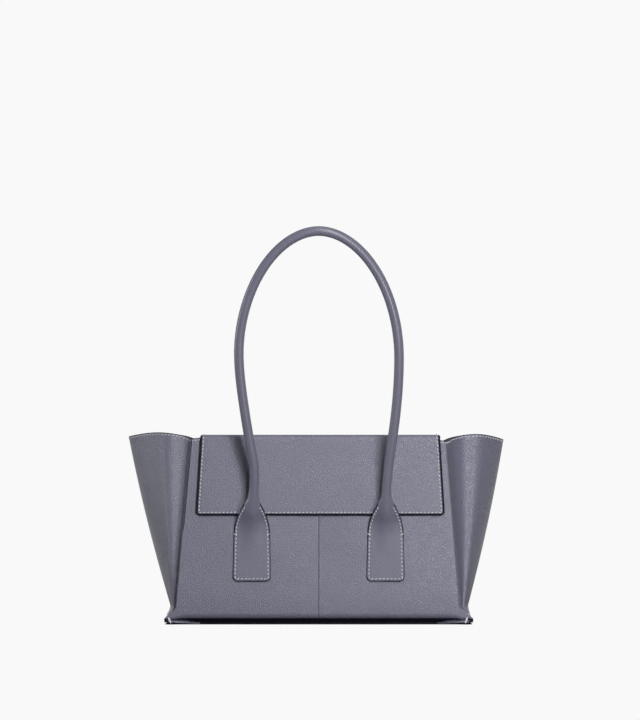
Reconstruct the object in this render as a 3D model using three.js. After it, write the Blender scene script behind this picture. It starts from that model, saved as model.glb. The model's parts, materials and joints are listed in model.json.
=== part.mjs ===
// Structured leather tote bag: a tapered body with flared wing sides, a flap that comes over the top
// from the back, and two rolled handles that flatten into sewn tabs.
// Millimetres, +Z up, the front faces -Y, origin at the centre of the base underside.
import * as THREE from 'three';

// Body
const BASE_WIDTH = 294;
const BASE_DEPTH = 130;
const RIM_WIDTH = 255;
const RIM_DEPTH = 116;
const RIM_HEIGHT = 185.6;
const CURL_RADIUS = 6; // outer radius of the roll along the foot of the front and back walls
const CURL_SWEEP = THREE.MathUtils.degToRad(80);
const EAR_REACH = 7.5; // the sewn end seam stands out past the wing by this much
const EAR_HEIGHT = 12;
const WING_REACH = 65; // the wing tip stands out past the front crease by this much
const WING_CROWN = 5.4; // rise of the wing's top edge between crease and tip
const WING_BELLY = 2.5; // outward swell of the wing halfway up
const WING_TIP_ROUND = 0.12; // share of the way to the crease over which the fold at the tip is rounded

// Sheets, from the outside in
const LEATHER = 1.8;
const STIFFENER = 1;
const LINING = 0.8;
const FACING = 1.2;
const FACING_HEIGHT = 35;
const BASE_LEATHER = 1.8;
const BASE_BOARD = 2;
const GAP = 0.3; // clearance between neighbouring pieces

// Flap
const FLAP_RISE = 3.4; // height of the flap's top above the rim
const FLAP_LOWER_EDGE = 108.5;
const FLAP_FOLD_WIDTH = 238;
const FLAP_LOWER_WIDTH = 248;
const FLAP_FOLD_RADIUS = 4.5;
const FLAP_LEATHER = 1.2;
const FLAP_STIFFENER = 0.9;
const FLAP_LINING = 0.7;
const FLAP_HEM = 4; // inset of the flap's inner layers from its edges
const ANCHOR_LENGTH = 36; // the flap is sewn to the back over this height
const MAGNET_DIAMETER = 15;
const MAGNET_RISE = 16; // height of the magnets above the flap's lower edge

// Handles
const TAB_WIDTH = 36.5;
const TAB_TOP_WIDTH = 35.4;
const TAB_THICKNESS = 3;
const TAB_BOTTOM = 43.5;
const TAB_CORNER = 5;
const TAB_SPACING = 133.4; // between the centre lines of the two tabs
const BEND_HEIGHT = 90; // bar tacks, where the sewn tab ends and the handle bends
const NECK_LENGTH = 38; // the flat tab rolls up into the round handle over this length
const HANDLE_DIAMETER = 9.5;
const HANDLE_LEATHER = 1.4;
const HANDLE_WIDTH = 157.4; // between centre lines at the widest place
const HANDLE_WIDEST = 182; // height of the widest place above the bend
const HANDLE_DROP = 306; // height of the handle's top centre line above the bend
const HANDLE_SEAM = 0.8; // opening of the seam along the back of the rolled leather
const HANDLE_LEAN = THREE.MathUtils.degToRad(14);

const LEATHER_COLOUR = 0x7d7e8b;
const LINING_COLOUR = 0x8a8178;
const BOARD_COLOUR = 0x5c5852;
const STEEL_COLOUR = 0xa8aaad;
const CORD_COLOUR = 0xc9c4b8;

const leather = new THREE.MeshStandardMaterial({ color: LEATHER_COLOUR, roughness: 0.6, metalness: 0 });
const cloth = new THREE.MeshStandardMaterial({ color: LINING_COLOUR, roughness: 0.9, metalness: 0 });
const board = new THREE.MeshStandardMaterial({ color: BOARD_COLOUR, roughness: 0.9, metalness: 0 });
const steel = new THREE.MeshStandardMaterial({ color: STEEL_COLOUR, roughness: 0.35, metalness: 1 });
const cord = new THREE.MeshStandardMaterial({ color: CORD_COLOUR, roughness: 0.95, metalness: 0 });

// Sizes that follow from the driving ones
const { lerp, smoothstep } = THREE.MathUtils;
const WALL_TILT = Math.atan((BASE_DEPTH - RIM_DEPTH) / 2 / RIM_HEIGHT);
const FLOOR_TOP = BASE_LEATHER + GAP;
const BOARD_TOP = FLOOR_TOP + BASE_BOARD;
const LINING_FOOT = BOARD_TOP + GAP + LINING + GAP;
const STIFFENER_DEPTH = LEATHER + GAP;
const FRONT_LINING_DEPTH = STIFFENER_DEPTH + STIFFENER + GAP;
const WING_LINING_DEPTH = LEATHER + GAP;
const WALL_STACK = FRONT_LINING_DEPTH + Math.max(LINING, FACING);
const FLAP_STACK = FLAP_LEATHER + GAP + FLAP_STIFFENER + GAP + FLAP_LINING;
const ANCHOR_THICKNESS = FLAP_LEATHER + GAP + FLAP_LINING;
const CURL_CENTRE_HEIGHT = FLOOR_TOP + CURL_RADIUS * Math.sin(CURL_SWEEP);
const CURL_CENTRE_DEPTH = halfDepth(CURL_CENTRE_HEIGHT) - CURL_RADIUS;
const FLAP_TOP_HEIGHT = RIM_HEIGHT + FLAP_RISE;
const FOLD_START = FLAP_TOP_HEIGHT - FLAP_FOLD_RADIUS;
const MAGNET_HEIGHT = FLAP_LOWER_EDGE + MAGNET_RISE;
const HANDLE_RADIUS = HANDLE_DIAMETER / 2;
const BORE_RADIUS = HANDLE_RADIUS - HANDLE_LEATHER;
const TUBE_CENTRE = TAB_THICKNESS - HANDLE_RADIUS;
const BEND_OFFSET = GAP + TAB_THICKNESS; // from the wall's outer face to the line the handle bends on

function halfDepth(z) {
  return lerp(BASE_DEPTH / 2, RIM_DEPTH / 2, z / RIM_HEIGHT);
}

function creaseX(z) {
  return lerp(BASE_WIDTH / 2, RIM_WIDTH / 2, z / RIM_HEIGHT);
}

function evenSteps(from, to, count) {
  return Array.from({ length: count + 1 }, (_, i) => lerp(from, to, i / count));
}

// A closed body from its corner points and triangles, turned so that its faces point out.
function closedBody(points, triangles) {
  const volume = triangles.reduce((sum, [a, b, c]) => {
    const cross = points[b].clone().cross(points[c]);
    return sum + points[a].dot(cross);
  }, 0);
  const order = volume < 0 ? triangles.map(([a, b, c]) => [a, c, b]) : triangles;
  const geometry = new THREE.BufferGeometry().setFromPoints(points);
  geometry.setIndex(order.flat());
  geometry.computeVertexNormals();
  return geometry;
}

function quad(a, b, c, d) {
  return [[a, b, c], [a, c, d]];
}

// The outward direction of a surface whose u and v run so that u cross v points out.
function outwardNormal(face, u, v, uRange, vRange) {
  const step = 1e-3;
  const [uLow, uHigh] = [Math.max(u - step, uRange[0]), Math.min(u + step, uRange[1])];
  const [vLow, vHigh] = [Math.max(v - step, vRange[0]), Math.min(v + step, vRange[1])];
  const along = face(uHigh, v).sub(face(uLow, v));
  const up = face(u, vHigh).sub(face(u, vLow));
  return along.cross(up).normalize();
}

// A sheet of even thickness that lies at a depth behind a surface.
function sheet(face, columns, rows, depth, thickness) {
  const uRange = [columns[0], columns.at(-1)];
  const vRange = [rows[0], rows.at(-1)];
  const outer = [];
  const inner = [];
  for (const v of rows) {
    for (const u of columns) {
      const normal = outwardNormal(face, u, v, uRange, vRange);
      outer.push(face(u, v).addScaledVector(normal, -depth));
      inner.push(face(u, v).addScaledVector(normal, -depth - thickness));
    }
  }
  const wide = columns.length;
  const tall = rows.length;
  const back = outer.length;
  const at = (row, column) => row * wide + column;
  const triangles = [];
  for (let r = 0; r < tall - 1; r += 1) {
    for (let c = 0; c < wide - 1; c += 1) {
      const front = quad(at(r, c), at(r, c + 1), at(r + 1, c + 1), at(r + 1, c));
      triangles.push(...front);
      triangles.push(...front.map((corners) => corners.map((i) => i + back).reverse()));
    }
  }
  const border = [];
  for (let c = 0; c < wide - 1; c += 1) border.push(at(0, c));
  for (let r = 0; r < tall - 1; r += 1) border.push(at(r, wide - 1));
  for (let c = wide - 1; c > 0; c -= 1) border.push(at(tall - 1, c));
  for (let r = tall - 1; r > 0; r -= 1) border.push(at(r, 0));
  border.forEach((i, k) => {
    const j = border[(k + 1) % border.length];
    triangles.push(...quad(i, i + back, j + back, j));
  });
  return closedBody([...outer, ...inner], triangles);
}

// A flat plate cut to an outline in X and height, its outer face at y = 0 and its back behind it.
function plate(outline, thickness) {
  const geometry = new THREE.ExtrudeGeometry(outline, { depth: thickness, bevelEnabled: false });
  geometry.rotateX(Math.PI / 2);
  return geometry.translate(0, thickness, 0);
}

function trapezium(bottomHalf, bottom, topHalf, top) {
  return new THREE.Shape([
    new THREE.Vector2(-bottomHalf, bottom),
    new THREE.Vector2(bottomHalf, bottom),
    new THREE.Vector2(topHalf, top),
    new THREE.Vector2(-topHalf, top),
  ]);
}

function named(name, geometry, material) {
  const mesh = new THREE.Mesh(geometry, material);
  mesh.name = name;
  return mesh;
}

// Front and back walls. Rows 0 to 1 run round the roll at the foot, 1 to 2 up the wall.
function wallFace(xAt) {
  return (u, v) => {
    if (v < 1) {
      const angle = CURL_SWEEP * (1 - v);
      const z = CURL_CENTRE_HEIGHT - CURL_RADIUS * Math.sin(angle);
      const y = CURL_CENTRE_DEPTH + CURL_RADIUS * Math.cos(angle);
      return new THREE.Vector3(xAt(u, z, LEATHER + 2 * GAP), -y, z);
    }
    const z = lerp(CURL_CENTRE_HEIGHT, RIM_HEIGHT, v - 1);
    return new THREE.Vector3(xAt(u, z, 0), -halfDepth(z), z);
  };
}

// Half a wall, from the centre seam to the crease. The roll is notched at the corner for the wing.
function wallPanel(side) {
  const xAt = (u, z, notch) => {
    const seam = GAP / 2;
    const edge = creaseX(z) - notch;
    return side > 0 ? lerp(seam, edge, u) : lerp(-edge, -seam, u);
  };
  const rows = [...evenSteps(0, 0.8, 4), 1, 1.5, 2];
  return sheet(wallFace(xAt), [0, 0.5, 1], rows, 0, LEATHER);
}

function wallLayer(bottom, top, thickness) {
  const face = (u, z) => {
    const edge = creaseX(z) - LEATHER - 2 * GAP;
    return new THREE.Vector3(lerp(-edge, edge, u), -halfDepth(z), z);
  };
  return sheet(face, [0, 1], [bottom, top], FRONT_LINING_DEPTH, thickness);
}

function wallStiffener(magnetHole) {
  const foot = CURL_CENTRE_HEIGHT + GAP;
  const top = RIM_HEIGHT - GAP;
  const inset = LEATHER + 2 * GAP;
  const outline = trapezium(creaseX(foot) - inset, foot, creaseX(top) - inset, top);
  if (magnetHole) outline.holes.push(magnetOutline());
  return plate(outline, STIFFENER);
}

function magnetOutline() {
  const hole = new THREE.Path();
  hole.absarc(0, MAGNET_HEIGHT, MAGNET_DIAMETER / 2 + GAP, 0, Math.PI * 2, true);
  return hole;
}

function magnet(thickness) {
  return new THREE.CylinderGeometry(MAGNET_DIAMETER / 2, MAGNET_DIAMETER / 2, thickness, 24);
}

// Wings. s runs from the front crease (0) over the tip (0.5) to the back crease (1).
const WING_COLUMNS = 26;
const WING_ROWS = [1, 1.25, 1.5, 1.75];

// Plan of half a wing, in shares of the way back (x) and out (y) from the crease to the tip:
// it runs straight back at first, swings out, then eases towards the tip.
const WING_PLAN = new THREE.CubicBezierCurve(
  new THREE.Vector2(0, 0),
  new THREE.Vector2(0.35, 0),
  new THREE.Vector2(0.2, 0.4),
  new THREE.Vector2(1, 1),
);

function wingOut(back) {
  let [low, high] = [0, 1];
  for (let halving = 0; halving < 40; halving += 1) {
    const middle = (low + high) / 2;
    if (WING_PLAN.getPoint(middle).x < back) low = middle;
    else high = middle;
  }
  return WING_PLAN.getPoint(low).y;
}

function wingSwing(s) {
  const whole = Math.hypot(1, WING_TIP_ROUND);
  const left = Math.hypot(1 - 2 * s, WING_TIP_ROUND);
  return wingOut((whole - left) / (whole - WING_TIP_ROUND));
}

function wingTop(s) {
  return RIM_HEIGHT + WING_CROWN * Math.sin(Math.PI * wingSwing(s));
}

function wingWall(s, z) {
  const swing = wingSwing(s);
  const rise = z / RIM_HEIGHT;
  const belly = WING_BELLY * 4 * rise * (1 - rise) * swing;
  const x = creaseX(z) + WING_REACH * swing * rise + belly;
  return new THREE.Vector3(x, halfDepth(z) * (2 * s - 1), z);
}

// Rows 1 to 2 run up the wing to the foot of the facing, 2 to 3 up to the top edge.
function wingFace(s, v) {
  const facingFoot = wingTop(s) - FACING_HEIGHT;
  if (v < 2) return wingWall(s, lerp(EAR_HEIGHT, facingFoot, v - 1));
  return wingWall(s, lerp(facingFoot, wingTop(s), v - 2));
}

// Below row 1 the leather slants out into the ear of the end seam.
function wingLeatherFace(s, v) {
  if (v >= 1) return wingFace(s, v);
  const slant = Math.atan2(EAR_HEIGHT - FLOOR_TOP, EAR_REACH);
  const tipHeight = FLOOR_TOP + LEATHER * Math.cos(slant);
  const point = wingWall(s, EAR_HEIGHT);
  point.x += EAR_REACH * (1 - v);
  point.z = lerp(tipHeight, EAR_HEIGHT, v);
  return point;
}

// Below row 1 the lining goes straight down to the base lining.
function wingLiningFace(s, v) {
  return v < 1 ? wingWall(s, lerp(LINING_FOOT, EAR_HEIGHT, v)) : wingFace(s, v);
}

// Every layer of a wing has its columns at the same places, so that their facets stay parallel.
function wingSheet(face, endInset, rows, depth, thickness, side) {
  const start = endInset / RIM_DEPTH;
  const between = evenSteps(0, 1, WING_COLUMNS).filter((s) => s > start && s < 1 - start);
  const turned = (u, v) => {
    const point = face(side > 0 ? u : 1 - u, v);
    point.x *= side;
    return point;
  };
  return sheet(turned, [start, ...between, 1 - start], rows, depth, thickness);
}

function wingLeather(side) {
  const rows = [0, ...WING_ROWS, 2, 2.5, 3];
  return wingSheet(wingLeatherFace, LEATHER + GAP, rows, 0, LEATHER, side);
}

function wingLining(side) {
  const top = 2 - GAP / (RIM_HEIGHT - FACING_HEIGHT - EAR_HEIGHT);
  const rows = [0, ...WING_ROWS, top];
  return wingSheet(wingLiningFace, WALL_STACK + GAP, rows, WING_LINING_DEPTH, LINING, side);
}

function wingFacing(side) {
  return wingSheet(wingFace, WALL_STACK + GAP, [2, 2.5, 3], WING_LINING_DEPTH, FACING, side);
}

// Base
function baseLeather() {
  const halfLength = BASE_WIDTH / 2 + EAR_REACH;
  const halfWidth = BASE_DEPTH / 2 - LEATHER - GAP;
  const outline = trapezium(halfLength, -halfWidth, halfLength, halfWidth);
  return new THREE.ExtrudeGeometry(outline, { depth: BASE_LEATHER, bevelEnabled: false });
}

function baseLayer(thickness, bottom) {
  const length = BASE_WIDTH - 2 * (LEATHER + GAP);
  const curlEnd = CURL_CENTRE_DEPTH + (CURL_RADIUS - LEATHER) * Math.cos(CURL_SWEEP);
  const geometry = new THREE.BoxGeometry(length, 2 * (curlEnd - GAP), thickness);
  return geometry.translate(0, 0, bottom + thickness / 2);
}

// Flap. Its outer face is followed from the back, over the top and down the front.
function flapHalfWidth(z) {
  const share = (FOLD_START - z) / (FOLD_START - FLAP_LOWER_EDGE);
  return lerp(FLAP_FOLD_WIDTH / 2, FLAP_LOWER_WIDTH / 2, Math.max(0, share));
}

function flapPoint(u, y, z) {
  const half = flapHalfWidth(z);
  return new THREE.Vector3(lerp(half, -half, u), y, z);
}

function backFoldDepth() {
  return halfDepth(FOLD_START) + GAP + ANCHOR_THICKNESS - FLAP_FOLD_RADIUS;
}

function frontFoldDepth() {
  return halfDepth(FOLD_START) + GAP + FLAP_STACK - FLAP_FOLD_RADIUS;
}

// Rows 0 to 1 run up the back wall, 1 to 2 round the fold over the rim.
function anchorFace(u, v) {
  if (v < 1) {
    const z = lerp(FOLD_START - ANCHOR_LENGTH, FOLD_START, v);
    return flapPoint(u, halfDepth(z) + GAP + ANCHOR_THICKNESS, z);
  }
  const angle = ((v - 1) * Math.PI) / 2;
  const y = backFoldDepth() + FLAP_FOLD_RADIUS * Math.cos(angle);
  return flapPoint(u, y, FOLD_START + FLAP_FOLD_RADIUS * Math.sin(angle));
}

function flapAnchor() {
  return sheet(anchorFace, [0, 1], [0, 1, 1.25, 1.5, 1.75, 2], 0, ANCHOR_THICKNESS);
}

function flapTop(depth, thickness, inset) {
  const face = (u, v) => {
    const half = FLAP_FOLD_WIDTH / 2 - inset;
    const y = lerp(backFoldDepth() - GAP, -frontFoldDepth() + GAP, v);
    return new THREE.Vector3(lerp(half, -half, u), y, FLAP_TOP_HEIGHT);
  };
  return sheet(face, [0, 1], [0, 1], depth, thickness);
}

// Rows 0 to 1 run round the front fold, 1 to 2 down the front.
function flapFrontFace(u, v) {
  if (v < 1) {
    const angle = (v * Math.PI) / 2;
    const y = -frontFoldDepth() - FLAP_FOLD_RADIUS * Math.sin(angle);
    return flapPoint(u, y, FOLD_START + FLAP_FOLD_RADIUS * Math.cos(angle));
  }
  const z = lerp(FOLD_START, FLAP_LOWER_EDGE, v - 1);
  return flapPoint(u, -(halfDepth(z) + GAP + FLAP_STACK), z);
}

function flapFront() {
  return sheet(flapFrontFace, [0, 1], [0, 0.25, 0.5, 0.75, 1, 2], 0, FLAP_LEATHER);
}

function flapFrontOutline() {
  const top = FOLD_START - GAP;
  const bottom = FLAP_LOWER_EDGE + FLAP_HEM;
  const inset = FLAP_HEM;
  return trapezium(flapHalfWidth(bottom) - inset, bottom, flapHalfWidth(top) - inset, top);
}

// Handles, in their own frame: the bend lies on the X axis, the handle stands up +Z,
// and the tab's front face is y = 0.
function neckShare(height) {
  return smoothstep(height, 0, NECK_LENGTH);
}

function neckHalfWidth(height) {
  const share = Math.min(1, height / NECK_LENGTH);
  return lerp(HANDLE_RADIUS, TAB_TOP_WIDTH / 2, Math.cos((share * Math.PI) / 2));
}

// Centre line of the left half, from foot to top, as points in X and height.
function handleHalfLine(start) {
  const foot = TAB_SPACING / 2;
  const widest = HANDLE_WIDTH / 2;
  const neck = evenSteps(start, NECK_LENGTH, 8).map((z) => new THREE.Vector2(-foot, z));
  const leg = evenSteps(0, 1, 7).slice(1).map((share) => {
    const x = lerp(foot, widest, smoothstep(share, 0, 1));
    return new THREE.Vector2(-x, lerp(NECK_LENGTH, HANDLE_WIDEST, share));
  });
  const arch = evenSteps(0, Math.PI / 2, 9).slice(1).map((angle) => {
    const z = HANDLE_WIDEST + (HANDLE_DROP - HANDLE_WIDEST) * Math.sin(angle);
    return new THREE.Vector2(-widest * Math.cos(angle), z);
  });
  return [...neck, ...leg, ...arch];
}

function handleLine(start) {
  const half = handleHalfLine(start);
  const mirrored = half.slice(0, -1).reverse().map((p) => new THREE.Vector2(-p.x, p.y));
  return [...half, ...mirrored];
}

// Sets a ring of section points (across, y) at each point of the centre line.
function handleRings(line, sectionAt) {
  return line.map((point, i) => {
    const before = line[Math.max(i - 1, 0)];
    const after = line[Math.min(i + 1, line.length - 1)];
    const tangent = after.clone().sub(before).normalize();
    return sectionAt(point.y).map(({ across, y }) => {
      const x = point.x + tangent.y * across;
      return new THREE.Vector3(x, y, point.y - tangent.x * across);
    });
  });
}

// The section changes from a flat double leather into a tube; both are given by the same points.
const SECTION_ANGLES = [55, 20, -15, -45, -68, -90].map(THREE.MathUtils.degToRad);
const FLAT_SPREAD = [0.55, 1, 1, 0.45, 0.25, 0];
const FLAT_BACK_POINTS = 2;

function halfSection(height, tubeRadius, flatInset) {
  const share = neckShare(height);
  const half = neckHalfWidth(height) - lerp(flatInset, HANDLE_RADIUS - tubeRadius, share);
  const seam = { across: HANDLE_SEAM / 2, y: lerp(TAB_THICKNESS - flatInset, TUBE_CENTRE + tubeRadius, share) };
  const rest = SECTION_ANGLES.map((angle, i) => {
    const flatY = i < FLAT_BACK_POINTS ? TAB_THICKNESS - flatInset : flatInset;
    return {
      across: half * lerp(FLAT_SPREAD[i], Math.cos(angle), share),
      y: lerp(flatY, TUBE_CENTRE + tubeRadius * Math.sin(angle), share),
    };
  });
  return [seam, ...rest];
}

function wholeSection(height, tubeRadius, flatInset) {
  const half = halfSection(height, tubeRadius, flatInset);
  const other = half.slice(0, -1).reverse().map(({ across, y }) => ({ across: -across, y }));
  return [...half, ...other];
}

// Leather wrapped round the core, open along a seam at the back.
function handleCover() {
  const flatInset = (TAB_THICKNESS - GAP) / 2;
  const rings = handleRings(handleLine(GAP), (height) => {
    const inner = wholeSection(height, BORE_RADIUS, flatInset).reverse();
    return [...wholeSection(height, HANDLE_RADIUS, 0), ...inner];
  });
  const size = rings[0].length;
  const triangles = [];
  for (let r = 0; r < rings.length - 1; r += 1) {
    for (let i = 0; i < size; i += 1) {
      const j = (i + 1) % size;
      triangles.push(...quad(r * size + i, r * size + j, (r + 1) * size + j, (r + 1) * size + i));
    }
  }
  const last = (rings.length - 1) * size;
  for (let i = 0; i < size / 2 - 1; i += 1) {
    const strip = [i, size - 1 - i, size - 2 - i, i + 1];
    triangles.push(...quad(...strip));
    triangles.push(...quad(...strip.map((k) => k + last).reverse()));
  }
  return closedBody(rings.flat(), triangles);
}

// Cord core, thinned out to its ends inside the necks.
function handleCore() {
  const sides = 10;
  const start = NECK_LENGTH * 0.45;
  const slot = GAP / 2;
  const rings = handleRings(handleLine(start), (height) => {
    const share = neckShare(height);
    const radius = lerp(slot, BORE_RADIUS, share) - GAP;
    const centre = lerp(TAB_THICKNESS / 2, TUBE_CENTRE, share);
    return Array.from({ length: sides }, (_, i) => {
      const angle = (i * 2 * Math.PI) / sides;
      return { across: radius * Math.cos(angle), y: centre + radius * Math.sin(angle) };
    });
  });
  const triangles = [];
  for (let r = 0; r < rings.length - 1; r += 1) {
    for (let i = 0; i < sides; i += 1) {
      const j = (i + 1) % sides;
      triangles.push(...quad(r * sides + i, r * sides + j, (r + 1) * sides + j, (r + 1) * sides + i));
    }
  }
  const last = (rings.length - 1) * sides;
  for (let i = 1; i < sides - 1; i += 1) {
    triangles.push([0, i + 1, i], [last, last + i, last + i + 1]);
  }
  return closedBody(rings.flat(), triangles);
}

// How far the rear handle has dropped back from its upright lean: until its top lies on the floor.
function rearHandleFall() {
  const bendAboveFloor = BEND_HEIGHT * Math.cos(WALL_TILT) + BEND_OFFSET * Math.sin(WALL_TILT);
  const room = bendAboveFloor - HANDLE_RADIUS - GAP;
  const reach = Math.hypot(HANDLE_DROP, TUBE_CENTRE);
  const dip = Math.asin(Math.min(1, room / reach)) - Math.atan2(-TUBE_CENTRE, HANDLE_DROP);
  return Math.PI / 2 + dip - HANDLE_LEAN;
}

function tabOutline() {
  const outline = new THREE.Shape();
  const half = TAB_WIDTH / 2;
  const topHalf = TAB_TOP_WIDTH / 2;
  const shoulder = TAB_BOTTOM + TAB_CORNER;
  outline.moveTo(-topHalf, BEND_HEIGHT);
  outline.lineTo(-half, shoulder);
  outline.absarc(-half + TAB_CORNER, shoulder, TAB_CORNER, Math.PI, 1.5 * Math.PI, false);
  outline.absarc(half - TAB_CORNER, shoulder, TAB_CORNER, 1.5 * Math.PI, 2 * Math.PI, false);
  outline.lineTo(topHalf, BEND_HEIGHT);
  outline.closePath();
  return outline;
}

// Frame that lies on a wall: its y = 0 plane is the wall's outer face, +Y points into the bag.
function wallFrame(turn) {
  const wall = new THREE.Group();
  wall.position.y = -BASE_DEPTH / 2;
  wall.rotation.x = -WALL_TILT;
  const side = new THREE.Group();
  side.rotation.z = turn;
  side.add(wall);
  return { side, wall };
}

// One wall with everything that is sewn to it. leftName is the name of the side at -X in its own frame.
function addWall(bag, prefix, turn, leftName, rightName, hasMagnet, fall) {
  const { side, wall } = wallFrame(turn);
  side.add(named(`${prefix}_panel_${leftName}`, wallPanel(-1), leather));
  side.add(named(`${prefix}_panel_${rightName}`, wallPanel(1), leather));
  const facingFoot = RIM_HEIGHT - FACING_HEIGHT;
  side.add(named(`${prefix}_lining`, wallLayer(LINING_FOOT, facingFoot - GAP, LINING), cloth));
  side.add(named(`${prefix}_facing`, wallLayer(facingFoot, RIM_HEIGHT, FACING), leather));

  const stiffener = named(`${prefix}_stiffener`, wallStiffener(hasMagnet), board);
  stiffener.position.y = STIFFENER_DEPTH;
  wall.add(stiffener);
  if (hasMagnet) {
    const disc = named('panel_magnet', magnet(STIFFENER), steel);
    disc.position.set(0, STIFFENER_DEPTH + STIFFENER / 2, MAGNET_HEIGHT);
    wall.add(disc);
  }

  const handleName = prefix === 'front' ? 'front' : 'rear';
  for (const [sideName, sign] of [[leftName, -1], [rightName, 1]]) {
    const tab = named(`${handleName}_tab_${sideName}`, plate(tabOutline(), TAB_THICKNESS), leather);
    tab.position.set((sign * TAB_SPACING) / 2, -BEND_OFFSET, 0);
    wall.add(tab);
  }
  const handle = new THREE.Group();
  handle.position.set(0, -BEND_OFFSET, BEND_HEIGHT);
  handle.rotation.x = WALL_TILT + HANDLE_LEAN + fall;
  handle.add(named(`${handleName}_handle_cover`, handleCover(), leather));
  handle.add(named(`${handleName}_handle_core`, handleCore(), cord));
  wall.add(handle);
  bag.add(side);
  return wall;
}

function addWing(bag, name, side) {
  bag.add(named(`wing_${name}`, wingLeather(side), leather));
  bag.add(named(`wing_lining_${name}`, wingLining(side), cloth));
  bag.add(named(`wing_facing_${name}`, wingFacing(side), leather));
}

function addFlap(bag, frontWall) {
  const topLiningDepth = FLAP_LEATHER + GAP;
  bag.add(named('flap_anchor', flapAnchor(), leather));
  bag.add(named('flap_top', flapTop(0, FLAP_LEATHER, 0), leather));
  bag.add(named('flap_top_lining', flapTop(topLiningDepth, FLAP_LINING, FLAP_HEM), cloth));
  bag.add(named('flap_front', flapFront(), leather));

  const lining = named('flap_front_lining', plate(flapFrontOutline(), FLAP_LINING), cloth);
  lining.position.y = -GAP - FLAP_LINING;
  const stiffenerOutline = flapFrontOutline();
  stiffenerOutline.holes.push(magnetOutline());
  const stiffener = named('flap_stiffener', plate(stiffenerOutline, FLAP_STIFFENER), board);
  stiffener.position.y = lining.position.y - GAP - FLAP_STIFFENER;
  const disc = named('flap_magnet', magnet(FLAP_STIFFENER), steel);
  disc.position.set(0, stiffener.position.y + FLAP_STIFFENER / 2, MAGNET_HEIGHT);
  frontWall.add(lining, stiffener, disc);
}

function buildBag() {
  const bag = new THREE.Group();
  bag.add(named('base_panel', baseLeather(), leather));
  bag.add(named('base_board', baseLayer(BASE_BOARD, FLOOR_TOP), board));
  bag.add(named('base_lining', baseLayer(LINING, BOARD_TOP + GAP), cloth));
  const frontWall = addWall(bag, 'front', 0, 'left', 'right', true, 0);
  addWall(bag, 'back', Math.PI, 'right', 'left', false, rearHandleFall());
  addWing(bag, 'left', -1);
  addWing(bag, 'right', 1);
  addFlap(bag, frontWall);
  return bag;
}

export default buildBag();
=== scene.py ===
"""Structured leather tote bag: flared wings, a flap over the top and two rolled handles.

Metres, +Z up, the front faces -Y, and the origin is at the centre of the base's underside.
"""

import json
import logging
import math
from bisect import bisect_left
from collections import Counter
from dataclasses import dataclass
from enum import Enum
from functools import lru_cache, partial
from typing import Any, Callable, Optional, Sequence, Union

import bpy
from mathutils import Matrix, Vector, noise


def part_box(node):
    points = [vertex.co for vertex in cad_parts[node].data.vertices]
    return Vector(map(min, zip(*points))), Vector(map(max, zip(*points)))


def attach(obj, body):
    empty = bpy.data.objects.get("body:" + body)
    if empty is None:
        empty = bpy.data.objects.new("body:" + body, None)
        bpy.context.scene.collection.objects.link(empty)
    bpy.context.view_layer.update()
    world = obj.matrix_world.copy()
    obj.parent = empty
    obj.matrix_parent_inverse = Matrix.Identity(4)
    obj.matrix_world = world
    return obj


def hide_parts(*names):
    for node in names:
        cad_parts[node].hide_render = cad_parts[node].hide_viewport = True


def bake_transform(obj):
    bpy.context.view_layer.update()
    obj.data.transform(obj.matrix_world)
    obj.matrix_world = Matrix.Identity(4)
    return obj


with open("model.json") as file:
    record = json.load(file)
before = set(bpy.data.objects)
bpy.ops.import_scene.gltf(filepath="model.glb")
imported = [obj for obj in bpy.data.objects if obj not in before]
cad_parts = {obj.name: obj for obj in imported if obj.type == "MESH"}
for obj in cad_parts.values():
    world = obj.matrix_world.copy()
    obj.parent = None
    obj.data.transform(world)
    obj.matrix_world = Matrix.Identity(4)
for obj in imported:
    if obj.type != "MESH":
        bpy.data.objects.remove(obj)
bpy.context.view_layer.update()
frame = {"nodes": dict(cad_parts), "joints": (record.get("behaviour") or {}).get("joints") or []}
log = logging.getLogger("tote_bag")

Piece = bpy.types.Object
Place = Callable[[float, float], Vector]
Level = Callable[[float], float]
Values = Optional[dict[Union[str, int], Any]]
SeamPoint = tuple[Vector, Vector]
SeamPath = list[SeamPoint]
Station = tuple[float, float, float, float]
BLACK = (0.0, 0.0, 0.0, 1.0)


class Side(Enum):
    """The two halves of the bag, as the sign of X."""

    LEFT = -1
    RIGHT = 1

    @classmethod
    def of(cls, x: float) -> "Side":
        """Returns the side on which a place lies."""
        return cls.LEFT if x < 0.0 else cls.RIGHT


class Wall(Enum):
    """The two long walls, as the sign of Y."""

    FRONT = -1
    BACK = 1

    def outward(self) -> Vector:
        """Returns the direction out of the wall."""
        return Vector((0.0, float(self.value), 0.0))


def lerp(low: float, high: float, share: float) -> float:
    """Returns the value at a share of the way from low to high."""
    return low + (high - low) * share


def ease(value: float, low: float, high: float) -> float:
    """Returns 0 up to low, 1 from high on and a smooth step between them."""
    share = min(1.0, max(0.0, (value - low) / (high - low)))
    return share * share * (3.0 - 2.0 * share)


def steps(low: float, high: float, count: int) -> list[float]:
    """Returns count + 1 evenly spaced values from low to high."""
    return [lerp(low, high, i / count) for i in range(count + 1)]


def bell(distance: float, width: float) -> float:
    """Returns a bell curve that is 1 at no distance and has all but gone at twice its width."""
    return math.exp(-((distance / width) ** 2))


def corner_cut(radius: float, distance: float) -> float:
    """Returns how far a rounded corner draws a side in, at a distance from the side's end."""
    past = max(0.0, radius - distance)
    return radius - math.sqrt(max(0.0, radius**2 - past**2))


def look_up(keys: Sequence[float], values: Sequence[float], place: float) -> float:
    """Returns the value at a place between rising keys."""
    after = min(max(1, bisect_left(keys, place)), len(keys) - 1)
    share = (place - keys[after - 1]) / (keys[after] - keys[after - 1])
    return lerp(values[after - 1], values[after], share)


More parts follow.
